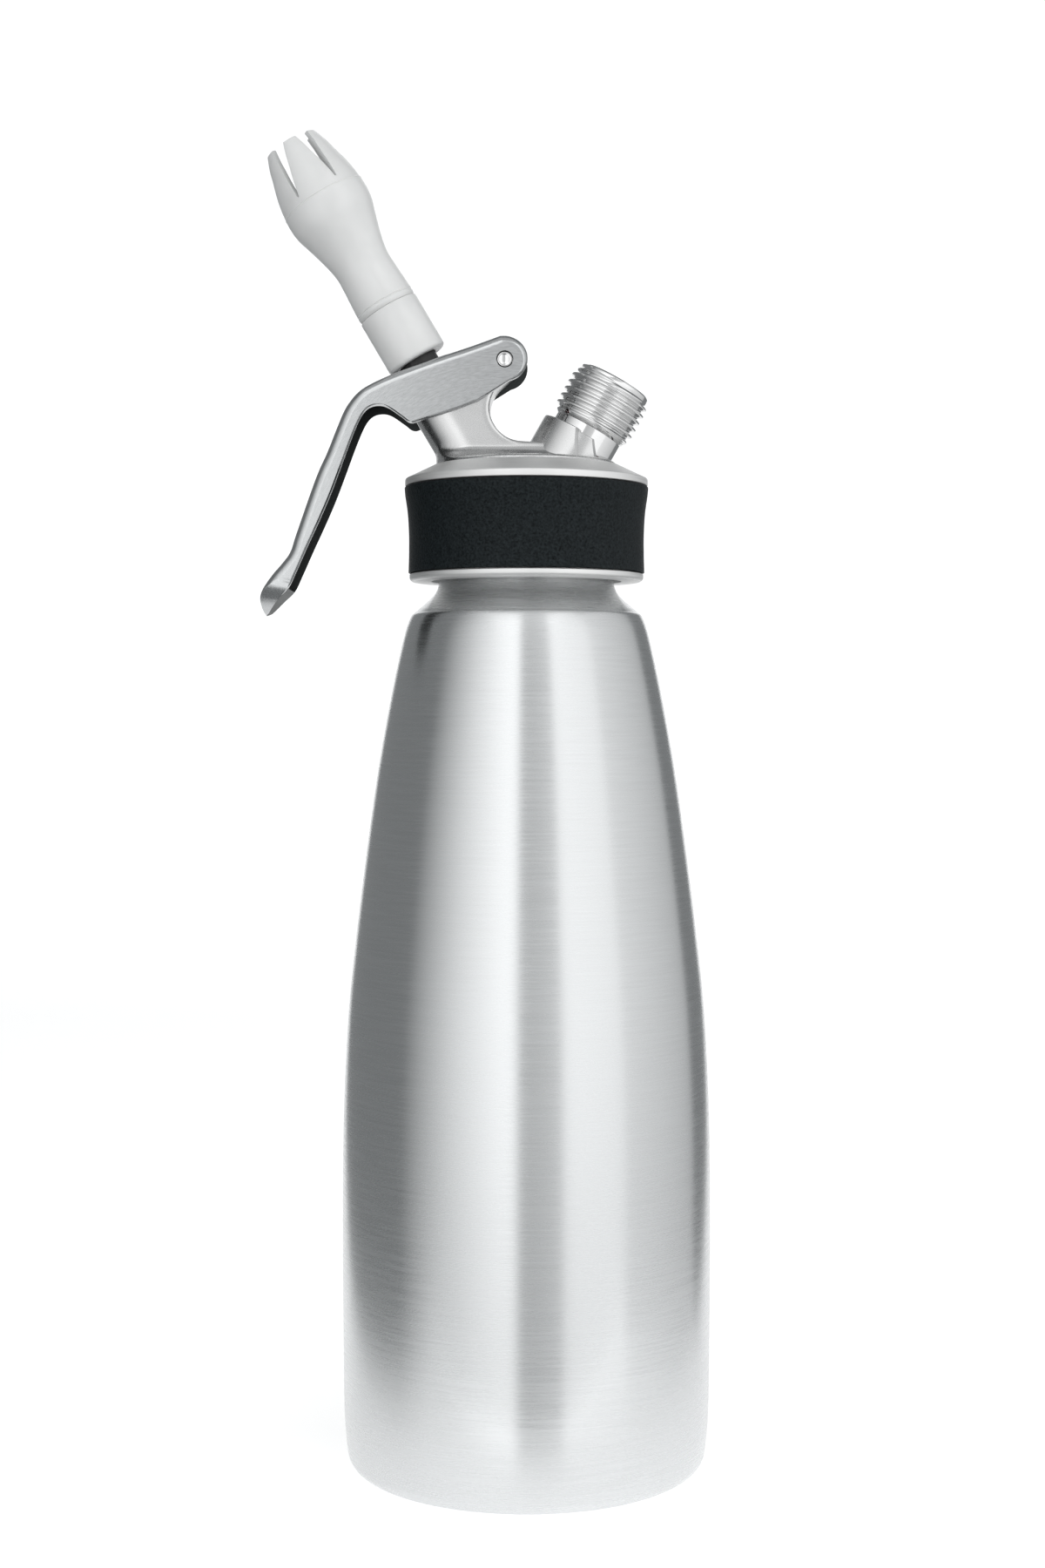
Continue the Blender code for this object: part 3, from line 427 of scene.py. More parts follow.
def place(thing, x, z, tilt_deg=0):
    """Put a piece's frame at a point of the XZ plane, leaning by the tilt."""
    thing.location = (x, 0, z)
    thing.rotation_euler = (0, math.radians(tilt_deg), 0)
    return thing


def on_nozzle(thing):
    return place(thing, NOZZLE_FOOT_X, NOZZLE_FOOT_Z, NOZZLE_TILT_DEG)


def on_stud(thing):
    return place(thing, STUD_X, STUD_Z, STUD_TILT_DEG)


def across(thing, x, z):
    """Turn a piece's own axis to Y and put it at a point of the XZ plane."""
    thing.location = (x, 0, z)
    thing.rotation_euler = (math.radians(90), 0, 0)
    return thing


def nozzle_frame():
    """The matrix of the nozzle's foot and lean."""
    foot = Matrix.Translation((NOZZLE_FOOT_X, 0, NOZZLE_FOOT_Z))
    return foot @ Matrix.Rotation(math.radians(NOZZLE_TILT_DEG), 4, "Y")


def nozzle_point(height, side=0.0):
    """The (x, z) place at a height on the nozzle's axis, or to the right of it."""
    tilt = math.radians(NOZZLE_TILT_DEG)
    return (NOZZLE_FOOT_X + height * math.sin(tilt) + side * math.cos(tilt),
            NOZZLE_FOOT_Z + height * math.cos(tilt) - side * math.sin(tilt))


def bake(thing):
    """Apply the object's modifiers to its mesh."""
    bpy.context.view_layer.update()
    evaluated = thing.evaluated_get(bpy.context.evaluated_depsgraph_get())
    mesh = bpy.data.meshes.new_from_object(evaluated)
    thing.modifiers.clear()
    thing.data = mesh
    return thing


def combine(target, tool, operation):
    """Join, cut or trim the target with a tool, which is then removed."""
    modifier = target.modifiers.new(operation.title(), "BOOLEAN")
    modifier.operation = operation
    modifier.object = tool
    modifier.solver = "EXACT"
    bake(target)
    bpy.data.objects.remove(tool, do_unlink=True)
    return target


def cut(target, tool):
    return combine(target, tool, "DIFFERENCE")


def join(target, tool):
    return combine(target, tool, "UNION")


def rounded_plate(name, outline, shares, half, radius, steps=6):
    """A plate across Y with rounded edges; each (x, z) point has its share of the radius."""
    inward = []
    for index in range(len(outline)):
        along = Vector(outline[(index + 1) % len(outline)]) - Vector(outline[index - 1])
        along.normalize()
        inward.append(Vector((-along.y, along.x)))
    rings = []
    for step in list(range(steps + 1)) + list(range(steps, -1, -1)):
        angle = math.radians(90) * step / steps
        depth = half - radius * (1 - math.cos(angle))
        y = depth if len(rings) > steps else -depth
        ring = []
        for point, share, normal in zip(outline, shares, inward):
            x, z = Vector(point) + normal * radius * share * (1 - math.sin(angle))
            ring.append((x, y, z))
        rings.append(ring)
    return skin(name, rings)


def even_normals(target, sharp_deg=SHARP_DEG):
    """Shade flat faces flat and rounded edges round, whatever the size of their faces."""
    target.data.shade_smooth()
    target.data.set_sharp_from_angle(angle=math.radians(sharp_deg))
    modifier = target.modifiers.new("Even normals", "WEIGHTED_NORMAL")
    modifier.keep_sharp = True
    return bake(target)


def thread_shape(low, high, root, crest, pitch):
    """A function of radius, height and angle that cuts a right-hand thread."""
    def shape(radius, height, angle):
        if radius < root or not low < height < high:
            return radius
        turn = ((height - low) / pitch - angle / math.tau) % 1.0
        flank = min(max(TOOTH_STEEPNESS * (1 - abs(2 * turn - 1)) - TOOTH_VALLEY, 0.0), 1.0)
        tooth = flank ** 2 * (3 - 2 * flank)
        fade = min((height - low) / pitch, (high - height) / pitch, 1.0)
        return root + (min(radius, crest) - root) * tooth * fade
    return shape


def rows(radius, low, high, pitch, per_turn=36):
    """Outline points close enough together to carry a thread."""
    count = math.ceil((high - low) / pitch * per_turn)
    return [(radius, low + (high - low) * index / count) for index in range(count + 1)]


def add_node(nodes, kind, **inputs):
    """Add a node and set its named inputs to numbers."""
    node = nodes.new(kind)
    for name, value in inputs.items():
        node.inputs[name.replace("_", " ")].default_value = value
    return node


def math_node(tree, operation, *values):
    """A math node whose inputs are numbers or other nodes' outputs."""
    node = tree.nodes.new("ShaderNodeMath")
    node.operation = operation
    for index, value in enumerate(values):
        if isinstance(value, (int, float)):
            node.inputs[index].default_value = value
        else:
            tree.links.new(value, node.inputs[index])
    return node.outputs[0]


def start_material(name, colour, roughness, metallic):
    """A material with its Principled shader set to plain values."""
    made = bpy.data.materials.new(name)
    made.use_nodes = True
    shader = made.node_tree.nodes["Principled BSDF"]
    shader.inputs["Base Color"].default_value = (*colour, 1.0)
    shader.inputs["Roughness"].default_value = roughness
    shader.inputs["Metallic"].default_value = metallic
    return made, made.node_tree, shader


def own_coordinates(tree):
    """Places in the piece's own axes, in metres."""
    return tree.nodes.new("ShaderNodeTexCoord").outputs["Object"]


def noise(tree, vector, scale, detail=3.0, roughness=0.6):
    """Noise with so many grains for each unit of the vector."""
    node = add_node(tree.nodes, "ShaderNodeTexNoise", Scale=scale, Detail=detail, Roughness=roughness)
    tree.links.new(vector, node.inputs["Vector"])
    return node.outputs["Fac"]


def vary(tree, value, low, high, socket):
    """Let a noise value drive a socket within a range."""
    node = add_node(tree.nodes, "ShaderNodeMapRange", From_Min=NOISE_LOW, From_Max=NOISE_HIGH,
                    To_Min=low, To_Max=high)
    tree.links.new(value, node.inputs["Value"])
    tree.links.new(node.outputs["Result"], socket)


def tint(tree, shader, colour, value, low, high):
    """Make the base colour lighter and darker by a value."""
    ramp = tree.nodes.new("ShaderNodeValToRGB")
    ends = ramp.color_ramp.elements
    for end, position, factor in ((ends[0], NOISE_LOW, low), (ends[1], NOISE_HIGH, high)):
        end.position = position
        end.color = (*[min(part * factor, 1.0) for part in colour], 1.0)
    tree.links.new(value, ramp.inputs["Fac"])
    tree.links.new(ramp.outputs["Color"], shader.inputs["Base Color"])


def bump(tree, shader, value, depth):
    """Raise the surface by a value, to a depth in metres."""
    node = add_node(tree.nodes, "ShaderNodeBump", Strength=1.0, Distance=depth)
    tree.links.new(value, node.inputs["Height"])
    tree.links.new(node.outputs["Normal"], shader.inputs["Normal"])


def streak_vector(tree, fineness, centre=(0, 0, 0), axes=("X", "Y", "Z"), around=2.5):
    """Coordinates whose noise is long round an axis and short along it and outwards from it."""
    shift = tree.nodes.new("ShaderNodeVectorMath")
    shift.operation = "SUBTRACT"
    shift.inputs[1].default_value = centre
    tree.links.new(own_coordinates(tree), shift.inputs[0])
    split = tree.nodes.new("ShaderNodeSeparateXYZ")
    tree.links.new(shift.outputs[0], split.inputs[0])
    first, second, axis = (split.outputs[name] for name in axes)
    angle = math_node(tree, "ARCTAN2", second, first)
    square = math_node(tree, "ADD", math_node(tree, "MULTIPLY", first, first),
                       math_node(tree, "MULTIPLY", second, second))
    radius = math_node(tree, "SQRT", square)
    gather = tree.nodes.new("ShaderNodeCombineXYZ")
    tree.links.new(math_node(tree, "MULTIPLY", angle, around), gather.inputs[0])
    tree.links.new(math_node(tree, "MULTIPLY", axis, fineness), gather.inputs[1])
    tree.links.new(math_node(tree, "MULTIPLY", radius, fineness), gather.inputs[2])
    return gather.outputs[0]


def turned_metal(name, colour, roughness, contrast, depth, fineness=2500.0, anisotropy=0.0):
    """Metal turned or brushed round the piece's own Z axis."""
    made, tree, shader = start_material(name, colour, roughness, 1.0)
    streaks = noise(tree, streak_vector(tree, fineness), scale=1.0)
    tint(tree, shader, colour, streaks, 1 - contrast, 1 + contrast)
    vary(tree, streaks, roughness * 0.85, roughness * 1.2, shader.inputs["Roughness"])
    bump(tree, shader, streaks, depth)
    if anisotropy:
        shader.inputs["Anisotropic"].default_value = anisotropy
        shader.inputs["Anisotropic Rotation"].default_value = 1 / 4      # a quarter turn
        tangent = tree.nodes.new("ShaderNodeTangent")
        tangent.direction_type = "RADIAL"
        tangent.axis = "Z"
        tree.links.new(tangent.outputs["Tangent"], shader.inputs["Tangent"])
    return made


def lever_metal():
    """Satin metal brushed along the lever, whose grain follows arcs about one centre."""
    made, tree, shader = start_material("lever_satin_steel", LEVER_STEEL, 0.2, 1.0)
    centre = GRAIN_CENTRE - Vector((PIN_X, 0, PIN_Z))
    vector = streak_vector(tree, 2700.0, centre, axes=("X", "Z", "Y"), around=25.0)
    streaks = noise(tree, vector, scale=1.0)
    tint(tree, shader, LEVER_STEEL, streaks, 0.9, 1.08)
    vary(tree, streaks, 0.18, 0.24, shader.inputs["Roughness"])
    bump(tree, shader, streaks, 0.0015 * MM)
    return made


def lever_painted_shade():
    """Rougher metal painted near-black as shade, for the inside of the lever's channel and the underside
    of its tongue.
    """
    made, tree, shader = start_material("lever_channel_painted_shade", LEVER_PAINTED_SHADE, 0.5, 1.0)
    grain = noise(tree, own_coordinates(tree), scale=1800.0, detail=4.0)
    tint(tree, shader, LEVER_PAINTED_SHADE, grain, 0.8, 1.2)
    vary(tree, grain, 0.42, 0.58, shader.inputs["Roughness"])
    bump(tree, shader, grain, 0.01 * MM)
    return made


def cast_metal():
    """Fine ground steel without a direction, for the casting."""
    made, tree, shader = start_material("casting_satin_steel", CAST_STEEL, 0.26, 1.0)
    grain = noise(tree, own_coordinates(tree), scale=2600.0, detail=4.0)
    cloud = noise(tree, own_coordinates(tree), scale=120.0, detail=2.0)
    tint(tree, shader, CAST_STEEL, cloud, 0.96, 1.03)
    vary(tree, grain, 0.24, 0.29, shader.inputs["Roughness"])
    bump(tree, shader, grain, 0.0006 * MM)
    return made


def silicone():
    """Matte black silicone with a fine leather-like grain."""
    made, tree, shader = start_material("grip_black_silicone", GRIP_BLACK, 0.5, 0.0)
    cells = add_node(tree.nodes, "ShaderNodeTexVoronoi", Scale=1500.0)
    tree.links.new(own_coordinates(tree), cells.inputs["Vector"])
    grain = noise(tree, own_coordinates(tree), scale=1600.0, detail=4.0, roughness=0.7)
    both = math_node(tree, "ADD", math_node(tree, "MULTIPLY", cells.outputs["Distance"], 0.6), grain)
    tint(tree, shader, GRIP_BLACK, grain, 0.25, 2.6)
    vary(tree, grain, 0.42, 0.6, shader.inputs["Roughness"])
    vary(tree, grain, 0.04, 0.32, shader.inputs["Specular IOR Level"])
    bump(tree, shader, both, 0.16 * MM)
    return made


def frosted():
    """Frosted, slightly translucent plastic."""
    made, tree, shader = start_material("frosted_plastic_look", FROSTED_WHITE, 0.3, 0.0)
    grain = noise(tree, own_coordinates(tree), scale=3000.0)
    cloud = noise(tree, own_coordinates(tree), scale=90.0, detail=2.0)
    tint(tree, shader, FROSTED_WHITE, cloud, 0.95, 1.03)
    vary(tree, grain, 0.27, 0.34, shader.inputs["Roughness"])
    bump(tree, shader, grain, 0.002 * MM)
    shader.inputs["Specular IOR Level"].default_value = 0.7
    shader.inputs["Subsurface Weight"].default_value = 0.5
    shader.inputs["Subsurface Radius"].default_value = (1.0, 1.0, 1.0)
    shader.inputs["Subsurface Scale"].default_value = 2.5 * MM
    return made


def moulded(name, colour, roughness):
    """Moulded rubber or plastic with a faint grain."""
    made, tree, shader = start_material(name, colour, roughness, 0.0)
    grain = noise(tree, own_coordinates(tree), scale=1600.0, detail=4.0)
    tint(tree, shader, colour, grain, 0.85, 1.15)
    vary(tree, grain, roughness * 0.85, roughness * 1.15, shader.inputs["Roughness"])
    bump(tree, shader, grain, 0.006 * MM)
    return made


def dress(piece, body, node, look):
    """Give a piece its material and body, and let it stand for a CAD node."""
    piece.data.materials.clear()
    piece.data.materials.append(look)
    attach(piece, body)
    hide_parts(node)


def make_bottle(look):
    """The spun bottle: base, side, shoulder and neck."""
    side = [(SHOULDER_R + (BODY_R - SHOULDER_R) * wide, SHOULDER_Z * high) for high, wide in SIDE_SHARES]
    shoulder = [(NECK_R + (SHOULDER_R - NECK_R) * wide, SHOULDER_Z + (NECK_START_Z - SHOULDER_Z) * high)
                for high, wide in SHOULDER_SHARES]
    corner_r = side[0][0]
    corner = [(BASE_FLAT_R + (corner_r - BASE_FLAT_R) * wide, BASE_CORNER_Z * high)
              for wide, high in BASE_CORNER_SHARES]
    outer = smooth([(BASE_FLAT_R, 0)] + corner + side + shoulder, 6) + [(NECK_R, NECK_TOP_Z)]
    outer = [(0, 0)] + outer
    inner = offset(outer, BOTTLE_WALL)
    inner[0] = (0, BOTTLE_WALL)
    inner[-1] = (inner[-1][0], NECK_TOP_Z)
    bottle = lathe("bottle", soften(outer + list(reversed(inner))), LARGE_SIDES)
    dress(bottle, "bottle", "bottle_shell", look)


def make_neck_thread(look):
    """The neck's collar with the thread that the cap screws on."""
    bore = NECK_R + GAP
    top = COLLAR_Z + COLLAR_HEIGHT
    low = COLLAR_Z + COLLAR_CHAMFER
    high = top - COLLAR_CHAMFER
    outline = [(bore, COLLAR_Z), (COLLAR_R - COLLAR_CHAMFER, COLLAR_Z)]
    outline += rows(COLLAR_R, low, high, NECK_THREAD_PITCH, 16)
    outline += [(COLLAR_R - COLLAR_CHAMFER, top), (bore, top)]
    shape = thread_shape(low, high, COLLAR_R - NECK_THREAD_DEPTH, COLLAR_R, NECK_THREAD_PITCH)
    collar = lathe("neck_thread", outline, MEDIUM_SIDES, shape)
    dress(collar, "bottle", "neck_collar", look)


def make_cap(metal, rubber):
    """The cap's turned shell and its grip band."""
    rim_top = CAP_BOTTOM_Z + RIM_HEIGHT
    hole = SPIGOT_R + GAP
    shell = lathe("cap", soften([
        (CAP_BORE_R, CAP_BOTTOM_Z), (RIM_R - RIM_CHAMFER, CAP_BOTTOM_Z),
        (RIM_R, CAP_BOTTOM_Z + RIM_CHAMFER), (RIM_R, rim_top), (CORE_R, rim_top), (CORE_R, FLANGE_Z),
        (FLANGE_R, FLANGE_Z), (FLANGE_R, FLANGE_Z + FLANGE_HEIGHT), (CONE_TOP_R, CONE_TOP_Z),
        (CONE_TOP_R, SEAT_Z), (hole, SEAT_Z), (hole, CAP_UNDERSIDE_Z),
        (CAP_BORE_R, CAP_UNDERSIDE_Z)], CAP_EDGE), LARGE_SIDES)
    dress(shell, "head", "cap_shell", metal)
    low = rim_top + GAP
    high = FLANGE_Z - GAP
    face = [(GRIP_WAIST_R + (GRIP_TOP_R - GRIP_WAIST_R) * wide, low + (high - low) * tall)
            for tall, wide in GRIP_SHARES]
    outline = soften([(CORE_R + GAP, low)] + smooth(face, 4) + [(CORE_R + GAP, high)], GRIP_EDGE, 4)
    dress(lathe("grip", outline, LARGE_SIDES), "head", "grip_band", rubber)


def post_outline():
    """The pivot post from the side: ear round the pin, back against the tube, saddle and hook cut-out."""
    ear = arc((PIN_X, PIN_Z), EAR_R, EAR_FROM_DEG, EAR_TO_DEG, 28)
    hook = arc((HOOK_X, HOOK_Z), HOOK_R, HOOK_FROM_DEG, HOOK_TO_DEG, 32)
    under = SEAT_Z + DISC_CHAMFER
    behind = [nozzle_point(TUBE_TOP, TUBE_R), nozzle_point(TUBE_TOP), (NOZZLE_FOOT_X, under)]
    saddle = [(STUD_X, under), (STUD_X, SADDLE_Z - SADDLE_DROP)]
    return ear + behind + saddle + hook


def make_foot():
    """The fillet between the post and the disc: stadium sections, from the top down, that flare out."""
    rings = []
    steps = 12
    lean = math.radians(NOZZLE_TILT_DEG)
    high = SADDLE_Z - SADDLE_DROP
    front = BOSS_TRIM_R - TUBE_R - OVERRUN
    for step in range(steps, -1, -1):
        share = step / steps
        z = DISC_SIDE_TOP_Z + (high - DISC_SIDE_TOP_Z) * share
        half = TUBE_R + FOOT_SPREAD * (1 - math.sqrt(1 - (1 - share) ** 2))
        back = NOZZLE_FOOT_X + (z - NOZZLE_FOOT_Z) * math.tan(lean)
        ring = [(back + x / math.cos(lean), y, z) for x, y in arc((0, 0), half, 90, 270, 32)]
        ring += [(front + x, y, z) for x, y in arc((0, 0), half, -90, 90, 32)]
        rings.append(ring)
    trim = rod("foot_trim", DISC_R, SEAT_Z, PIN_Z, LARGE_SIDES)
    return combine(skin("foot", rings), trim, "INTERSECT")


def blended_casting():
    """Disc, foot, tube and post, merged and relaxed so that their joins are rounded as in a mould."""
    below = SEAT_Z - OVERRUN
    casting = lathe("casting", [(0, below), (DISC_R, below), (DISC_R, DISC_SIDE_TOP_Z),
                                (DISC_R - DISC_CHAMFER, DISC_TOP_Z), (0, DISC_TOP_Z + DISC_CROWN)],
                    LARGE_SIDES)
    join(casting, make_foot())
    tube = on_nozzle(rod("tube", TUBE_R, -GUIDE_BORE_R, TUBE_TOP + OVERRUN, MEDIUM_SIDES))
    combine(tube, rod("tube_trim", BODY_R, SEAT_Z + DISC_CHAMFER, PIN_Z, LARGE_SIDES), "INTERSECT")
    join(casting, tube)
    join(casting, prism("post", post_outline(), -TUBE_R, TUBE_R))
    remesh = casting.modifiers.new("Remesh", "REMESH")
    remesh.mode = "VOXEL"
    remesh.voxel_size = CASTING_VOXEL
    relax = casting.modifiers.new("Smooth", "SMOOTH")
    relax.factor = 0.5
    relax.iterations = CASTING_SMOOTHING
    return bake(casting)


def add_turned_faces(casting, flange_z):
    """Cut the disc's underside and the tube's end flat, and join the bosses and the spigot."""
    cut(casting, rod("below", BODY_R, SEAT_Z - BODY_R, flange_z, LARGE_SIDES))
    cut(casting, on_nozzle(rod("tube_end", TUBE_R + OVERRUN / 3, TUBE_TOP, TUBE_TOP + 2 * OVERRUN,
                               MEDIUM_SIDES)))
    for radius, root, top, trim in ((BOSS_R, BOSS_ROOT, BOSS_TOP, BOSS_TRIM_R),
                                    (BOSS_STEP_R, BOSS_STEP_ROOT, BOSS_STEP_TOP, BOSS_STEP_TRIM_R)):
        outline = soften([(0, -root), (radius, -root), (radius, top), (0, top)], BOSS_EDGE)
        sleeve = on_stud(lathe("sleeve", outline, LARGE_SIDES))
        upright = rod("upright", trim, flange_z + DISC_CHAMFER, STUD_Z + BOSS_R, LARGE_SIDES)
        join(casting, combine(sleeve, upright, "INTERSECT"))
    outline = soften([(0, CAP_UNDERSIDE_Z), (SPIGOT_R, CAP_UNDERSIDE_Z), (SPIGOT_R, flange_z),
                      (0, flange_z + DISC_CHAMFER)])
    join(casting, lathe("spigot", outline, MEDIUM_SIDES))
    join(casting, on_nozzle(rod("valve_boss", VALVE_BOSS_R, -VALVE_BOSS_DEPTH, GUIDE_BORE_R)))


def make_casting(look):
    """The casting, whose joins are blended and whose turned faces and bores stay crisp."""
    casting = blended_casting()
    add_turned_faces(casting, SEAT_Z + GAP)
    low, high = -VALVE_BOSS_DEPTH - OVERRUN, TUBE_TOP + OVERRUN
    cut(casting, on_nozzle(lathe("nozzle_bore", [
        (0, low), (GUIDE_BORE_R, low), (GUIDE_BORE_R, SPRING_FLOOR), (SPRING_BORE_R, SPRING_FLOOR),
        (SPRING_BORE_R, high), (0, high)], MEDIUM_SIDES)))
    high = BOSS_TOP + 2 * OVERRUN
    cut(casting, on_stud(lathe("stud_bore", [
        (0, CHECK_FLOOR), (STUD_SHANK_R + GAP, CHECK_FLOOR), (STUD_SHANK_R + GAP, STUD_SEAT),
        (STUD_R + GAP, STUD_SEAT), (STUD_R + GAP, high), (0, high)], MEDIUM_SIDES)))
    low, high = CHECK_FLOOR - JET_HEIGHT - OVERRUN, CHECK_FLOOR + GAP
    cut(casting, on_stud(rod("jet_bore", JET_R + GAP, low, high)))
    cut(casting, across(rod("pin_hole", PIN_R + GAP, -LEVER_HALF, LEVER_HALF), PIN_X, PIN_Z))
    even_normals(casting, 28)
    dress(casting, "head", "head_casting", look)


def make_stud(look):
    """The charger stud with its thread, socket and vent hole."""
    outline = soften([(GAS_BORE_R, STUD_SHANK_END), (STUD_SHANK_R, STUD_SHANK_END),
                      (STUD_SHANK_R, STUD_BOTTOM), (STUD_R, STUD_BOTTOM),
                      (STUD_R, THREAD_START - THREAD_CHAMFER)])[1:-1]
    outline += rows(THREAD_R, THREAD_START, THREAD_END, THREAD_PITCH)
    outline += soften([
        (THREAD_ROOT_R, STUD_TOP - THREAD_CHAMFER), (THREAD_ROOT_R - THREAD_CHAMFER, STUD_TOP),
        (SOCKET_R, STUD_TOP), (SOCKET_R, SOCKET_FLOOR), (CHARGER_NECK_R, SOCKET_FLOOR),
        (CHARGER_NECK_R, CHARGER_FLOOR), (GAS_BORE_R, CHARGER_FLOOR)], EDGE / 2)
    beyond = GAP / 3
    shape = thread_shape(THREAD_START - beyond, THREAD_END + beyond, THREAD_ROOT_R, THREAD_R, THREAD_PITCH)
    stud = on_stud(lathe("stud", outline, MEDIUM_SIDES, shape))
    vent = rod("vent", VENT_R, CHARGER_NECK_R / 2, STUD_R + OVERRUN, SMALL_SIDES)
    lean = Matrix.Rotation(math.radians(STUD_TILT_DEG), 4, "Y")
    lift = Matrix.Translation((0, 0, VENT_HEIGHT))
    azimuth = Matrix.Rotation(math.radians(VENT_AZIMUTH_DEG), 4, "Z")
    lying = Matrix.Rotation(math.radians(90), 4, "Y")
    vent.matrix_world = Matrix.Translation((STUD_X, 0, STUD_Z)) @ lean @ lift @ azimuth @ lying
    cut(stud, vent)
    even_normals(stud, 40)
    dress(stud, "head", "charger_stud", look)


def make_spring(look):
    """The valve spring with closed ends, coiled along the nozzle's axis."""
    low = SPRING_FLOOR + BUSH_FLANGE_HEIGHT + 2 * GAP + SPRING_WIRE_R
    high = RETAINER_BOTTOM - GAP - SPRING_WIRE_R
    steps = 24
    count = round(SPRING_TURNS * steps)
    curve = bpy.data.curves.new("spring", "CURVE")
    curve.dimensions = "3D"
    curve.bevel_depth = SPRING_WIRE_R
    curve.bevel_resolution = 3
    curve.use_fill_caps = True
    line = curve.splines.new("POLY")
    line.points.add(count)
    for index in range(count + 1):
        angle = math.tau * index / steps
        height = low + (high - low) * index / count
        line.points[index].co = (SPRING_R * math.cos(angle), SPRING_R * math.sin(angle), height, 1)
    coil = add_object("spring", curve)
    bpy.context.view_layer.update()
    mesh = bpy.data.meshes.new_from_object(coil.evaluated_get(bpy.context.evaluated_depsgraph_get()))
    bpy.data.objects.remove(coil, do_unlink=True)
    mesh.shade_smooth()
    spring = on_nozzle(add_object("spring", mesh))
    dress(spring, "head", "valve_spring", look)
    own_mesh(spring)


def ringed(line, height, raised):
    """The turned line with a small ring raised at a height, or a groove where it is below zero."""
    after = next(index for index, point in enumerate(line) if point[1] > height + abs(raised))
    before = max(index for index, point in enumerate(line) if point[1] < height - abs(raised))
    share = (height - line[before][1]) / (line[after][1] - line[before][1])
    radius = line[before][0] + (line[after][0] - line[before][0]) * share
    middle = [(radius, height - abs(raised)), (radius + raised, height), (radius, height + abs(raised))]
    return line[:before + 1] + middle + line[after:]


def make_collar(look):
    """The frosted collar on the stem, which holds the insert and the tip."""
    low, high = ADAPTER_BOTTOM, ADAPTER_TOP
    corner = arc((ADAPTER_R - ADAPTER_ROUNDING, low + ADAPTER_ROUNDING), ADAPTER_ROUNDING, -90, 0, 8)
    recess_top = SLEEVE_TOP + GAP
    collar = on_nozzle(lathe("collar", soften([(SLEEVE_R + GAP, low)] + corner + [
        (ADAPTER_R, high), (INSERT_SOCKET_R, high), (INSERT_SOCKET_R, ADAPTER_FLOOR),
        (RUNNING_R, ADAPTER_FLOOR), (RUNNING_R, recess_top), (SLEEVE_R + GAP, recess_top)],
        PLASTIC_EDGE), MEDIUM_SIDES))
    dress(collar, "valve", "adapter_collar", look)


def make_tip(look):
    """The tulip tip: a turned cup with a groove, a raised ring and the slots between its prongs."""
    outer = smooth([(TIP_R * wide, TIP_BOTTOM + TIP_LENGTH * tall) for tall, wide in TIP_SHARES], 4)
    outer[0] = (outer[0][0], TIP_BOTTOM - TIP_SEATED)
    outer = ringed(outer, TIP_BOTTOM + BEAD_HEIGHT, -BEAD_GROOVE)
    outer = ringed(outer, TIP_BOTTOM + TIP_LENGTH * RING_SHARE, RING_RAISED)
    bore_low = TIP_BOTTOM + TIP_LENGTH * TIP_BORE_SHARE
    inner = [(radius - TIP_WALL, height) for radius, height in outer if height > bore_low]
    socket_top = INSERT_TOP + GAP
    outline = outer + list(reversed(inner)) + [(inner[0][0], socket_top), (INSERT_SOCKET_R, socket_top),
                                               (INSERT_SOCKET_R, outer[0][1])]
    tip = on_nozzle(lathe("tip", soften(outline, PLASTIC_EDGE), PRONGS * SIDES_PER_PRONG))
    root = TIP_BOTTOM + TIP_LENGTH * SLOT_ROOT_SHARE
    top = TIP_BOTTOM + TIP_LENGTH
    widen = (SLOT_TOP_HALF - SLOT_ROOT_HALF) * OVERRUN / (top - root)
    wedge = [(-SLOT_ROOT_HALF, root), (SLOT_ROOT_HALF, root), (SLOT_TOP_HALF + widen, top + OVERRUN),
             (-SLOT_TOP_HALF - widen, top + OVERRUN)]
    for index in range(PRONGS // 2):
        slot = prism("slot", wedge, -TIP_R - OVERRUN, TIP_R + OVERRUN)
        slot.matrix_world = nozzle_frame() @ Matrix.Rotation(math.tau * (index + 0.5) / PRONGS, 4, "Z")
        cut(tip, slot)
    even_normals(tip)
    dress(tip, "tip", "tulip_tip", look)


def lever_points(shares):
    return [(-LEVER_REACH * wide, LEVER_DROP * tall) for wide, tall in shares]


def lever_end():
    """The lever's round end, a little fuller at its top."""
    steps = 32
    points = []
    for step in range(steps + 1):
        share = step / steps
        radius = LEVER_END_R + (LEVER_CROWN_R - LEVER_END_R) * share
        angle = math.radians(LEVER_END_FROM_DEG + (LEVER_END_TO_DEG - LEVER_END_FROM_DEG) * share)
        points.append((radius * math.cos(angle), radius * math.sin(angle)))
    return points


def lever_blank(top, free):
    """The lever before its cuts: the edges along the web are rounder than the others."""
    end = lever_end()
    least = LEVER_EDGE_SHARE
    shares = [1] * (len(top) - CHANNEL_STOP)
    shares += [1 - (1 - least) * (index + 1) / CHANNEL_STOP for index in range(CHANNEL_STOP)]
    shares += [least] * (len(LEVER_TIP_SHARES) + len(free))
    shares += [least + (1 - least) * index / len(end) for index in range(len(end))]
    outline = top + lever_points(LEVER_TIP_SHARES) + free + end
    return rounded_plate("lever_arm", outline, shares, LEVER_HALF, LEVER_BEND_R)


def channel_cutter(top, free):
    """The inside of the channel, open towards the bottle and at the round end."""
    web = offset(top, LEVER_WALL)[:-CHANNEL_STOP]
    opening = arc((0, 0), LEVER_END_R - LEVER_WALL, CHANNEL_OPENS_FROM_DEG, CHANNEL_OPENS_TO_DEG, 12)
    below = [(x + OVERRUN, z - OVERRUN) for x, z in free[2 * LEVER_CURVE_STEPS:]]
    right = LEVER_END_R + OVERRUN
    outline = web + below + [(right, below[-1][1]), (right, opening[0][1])] + opening
    return prism("channel", outline, -LEVER_INNER, LEVER_INNER)


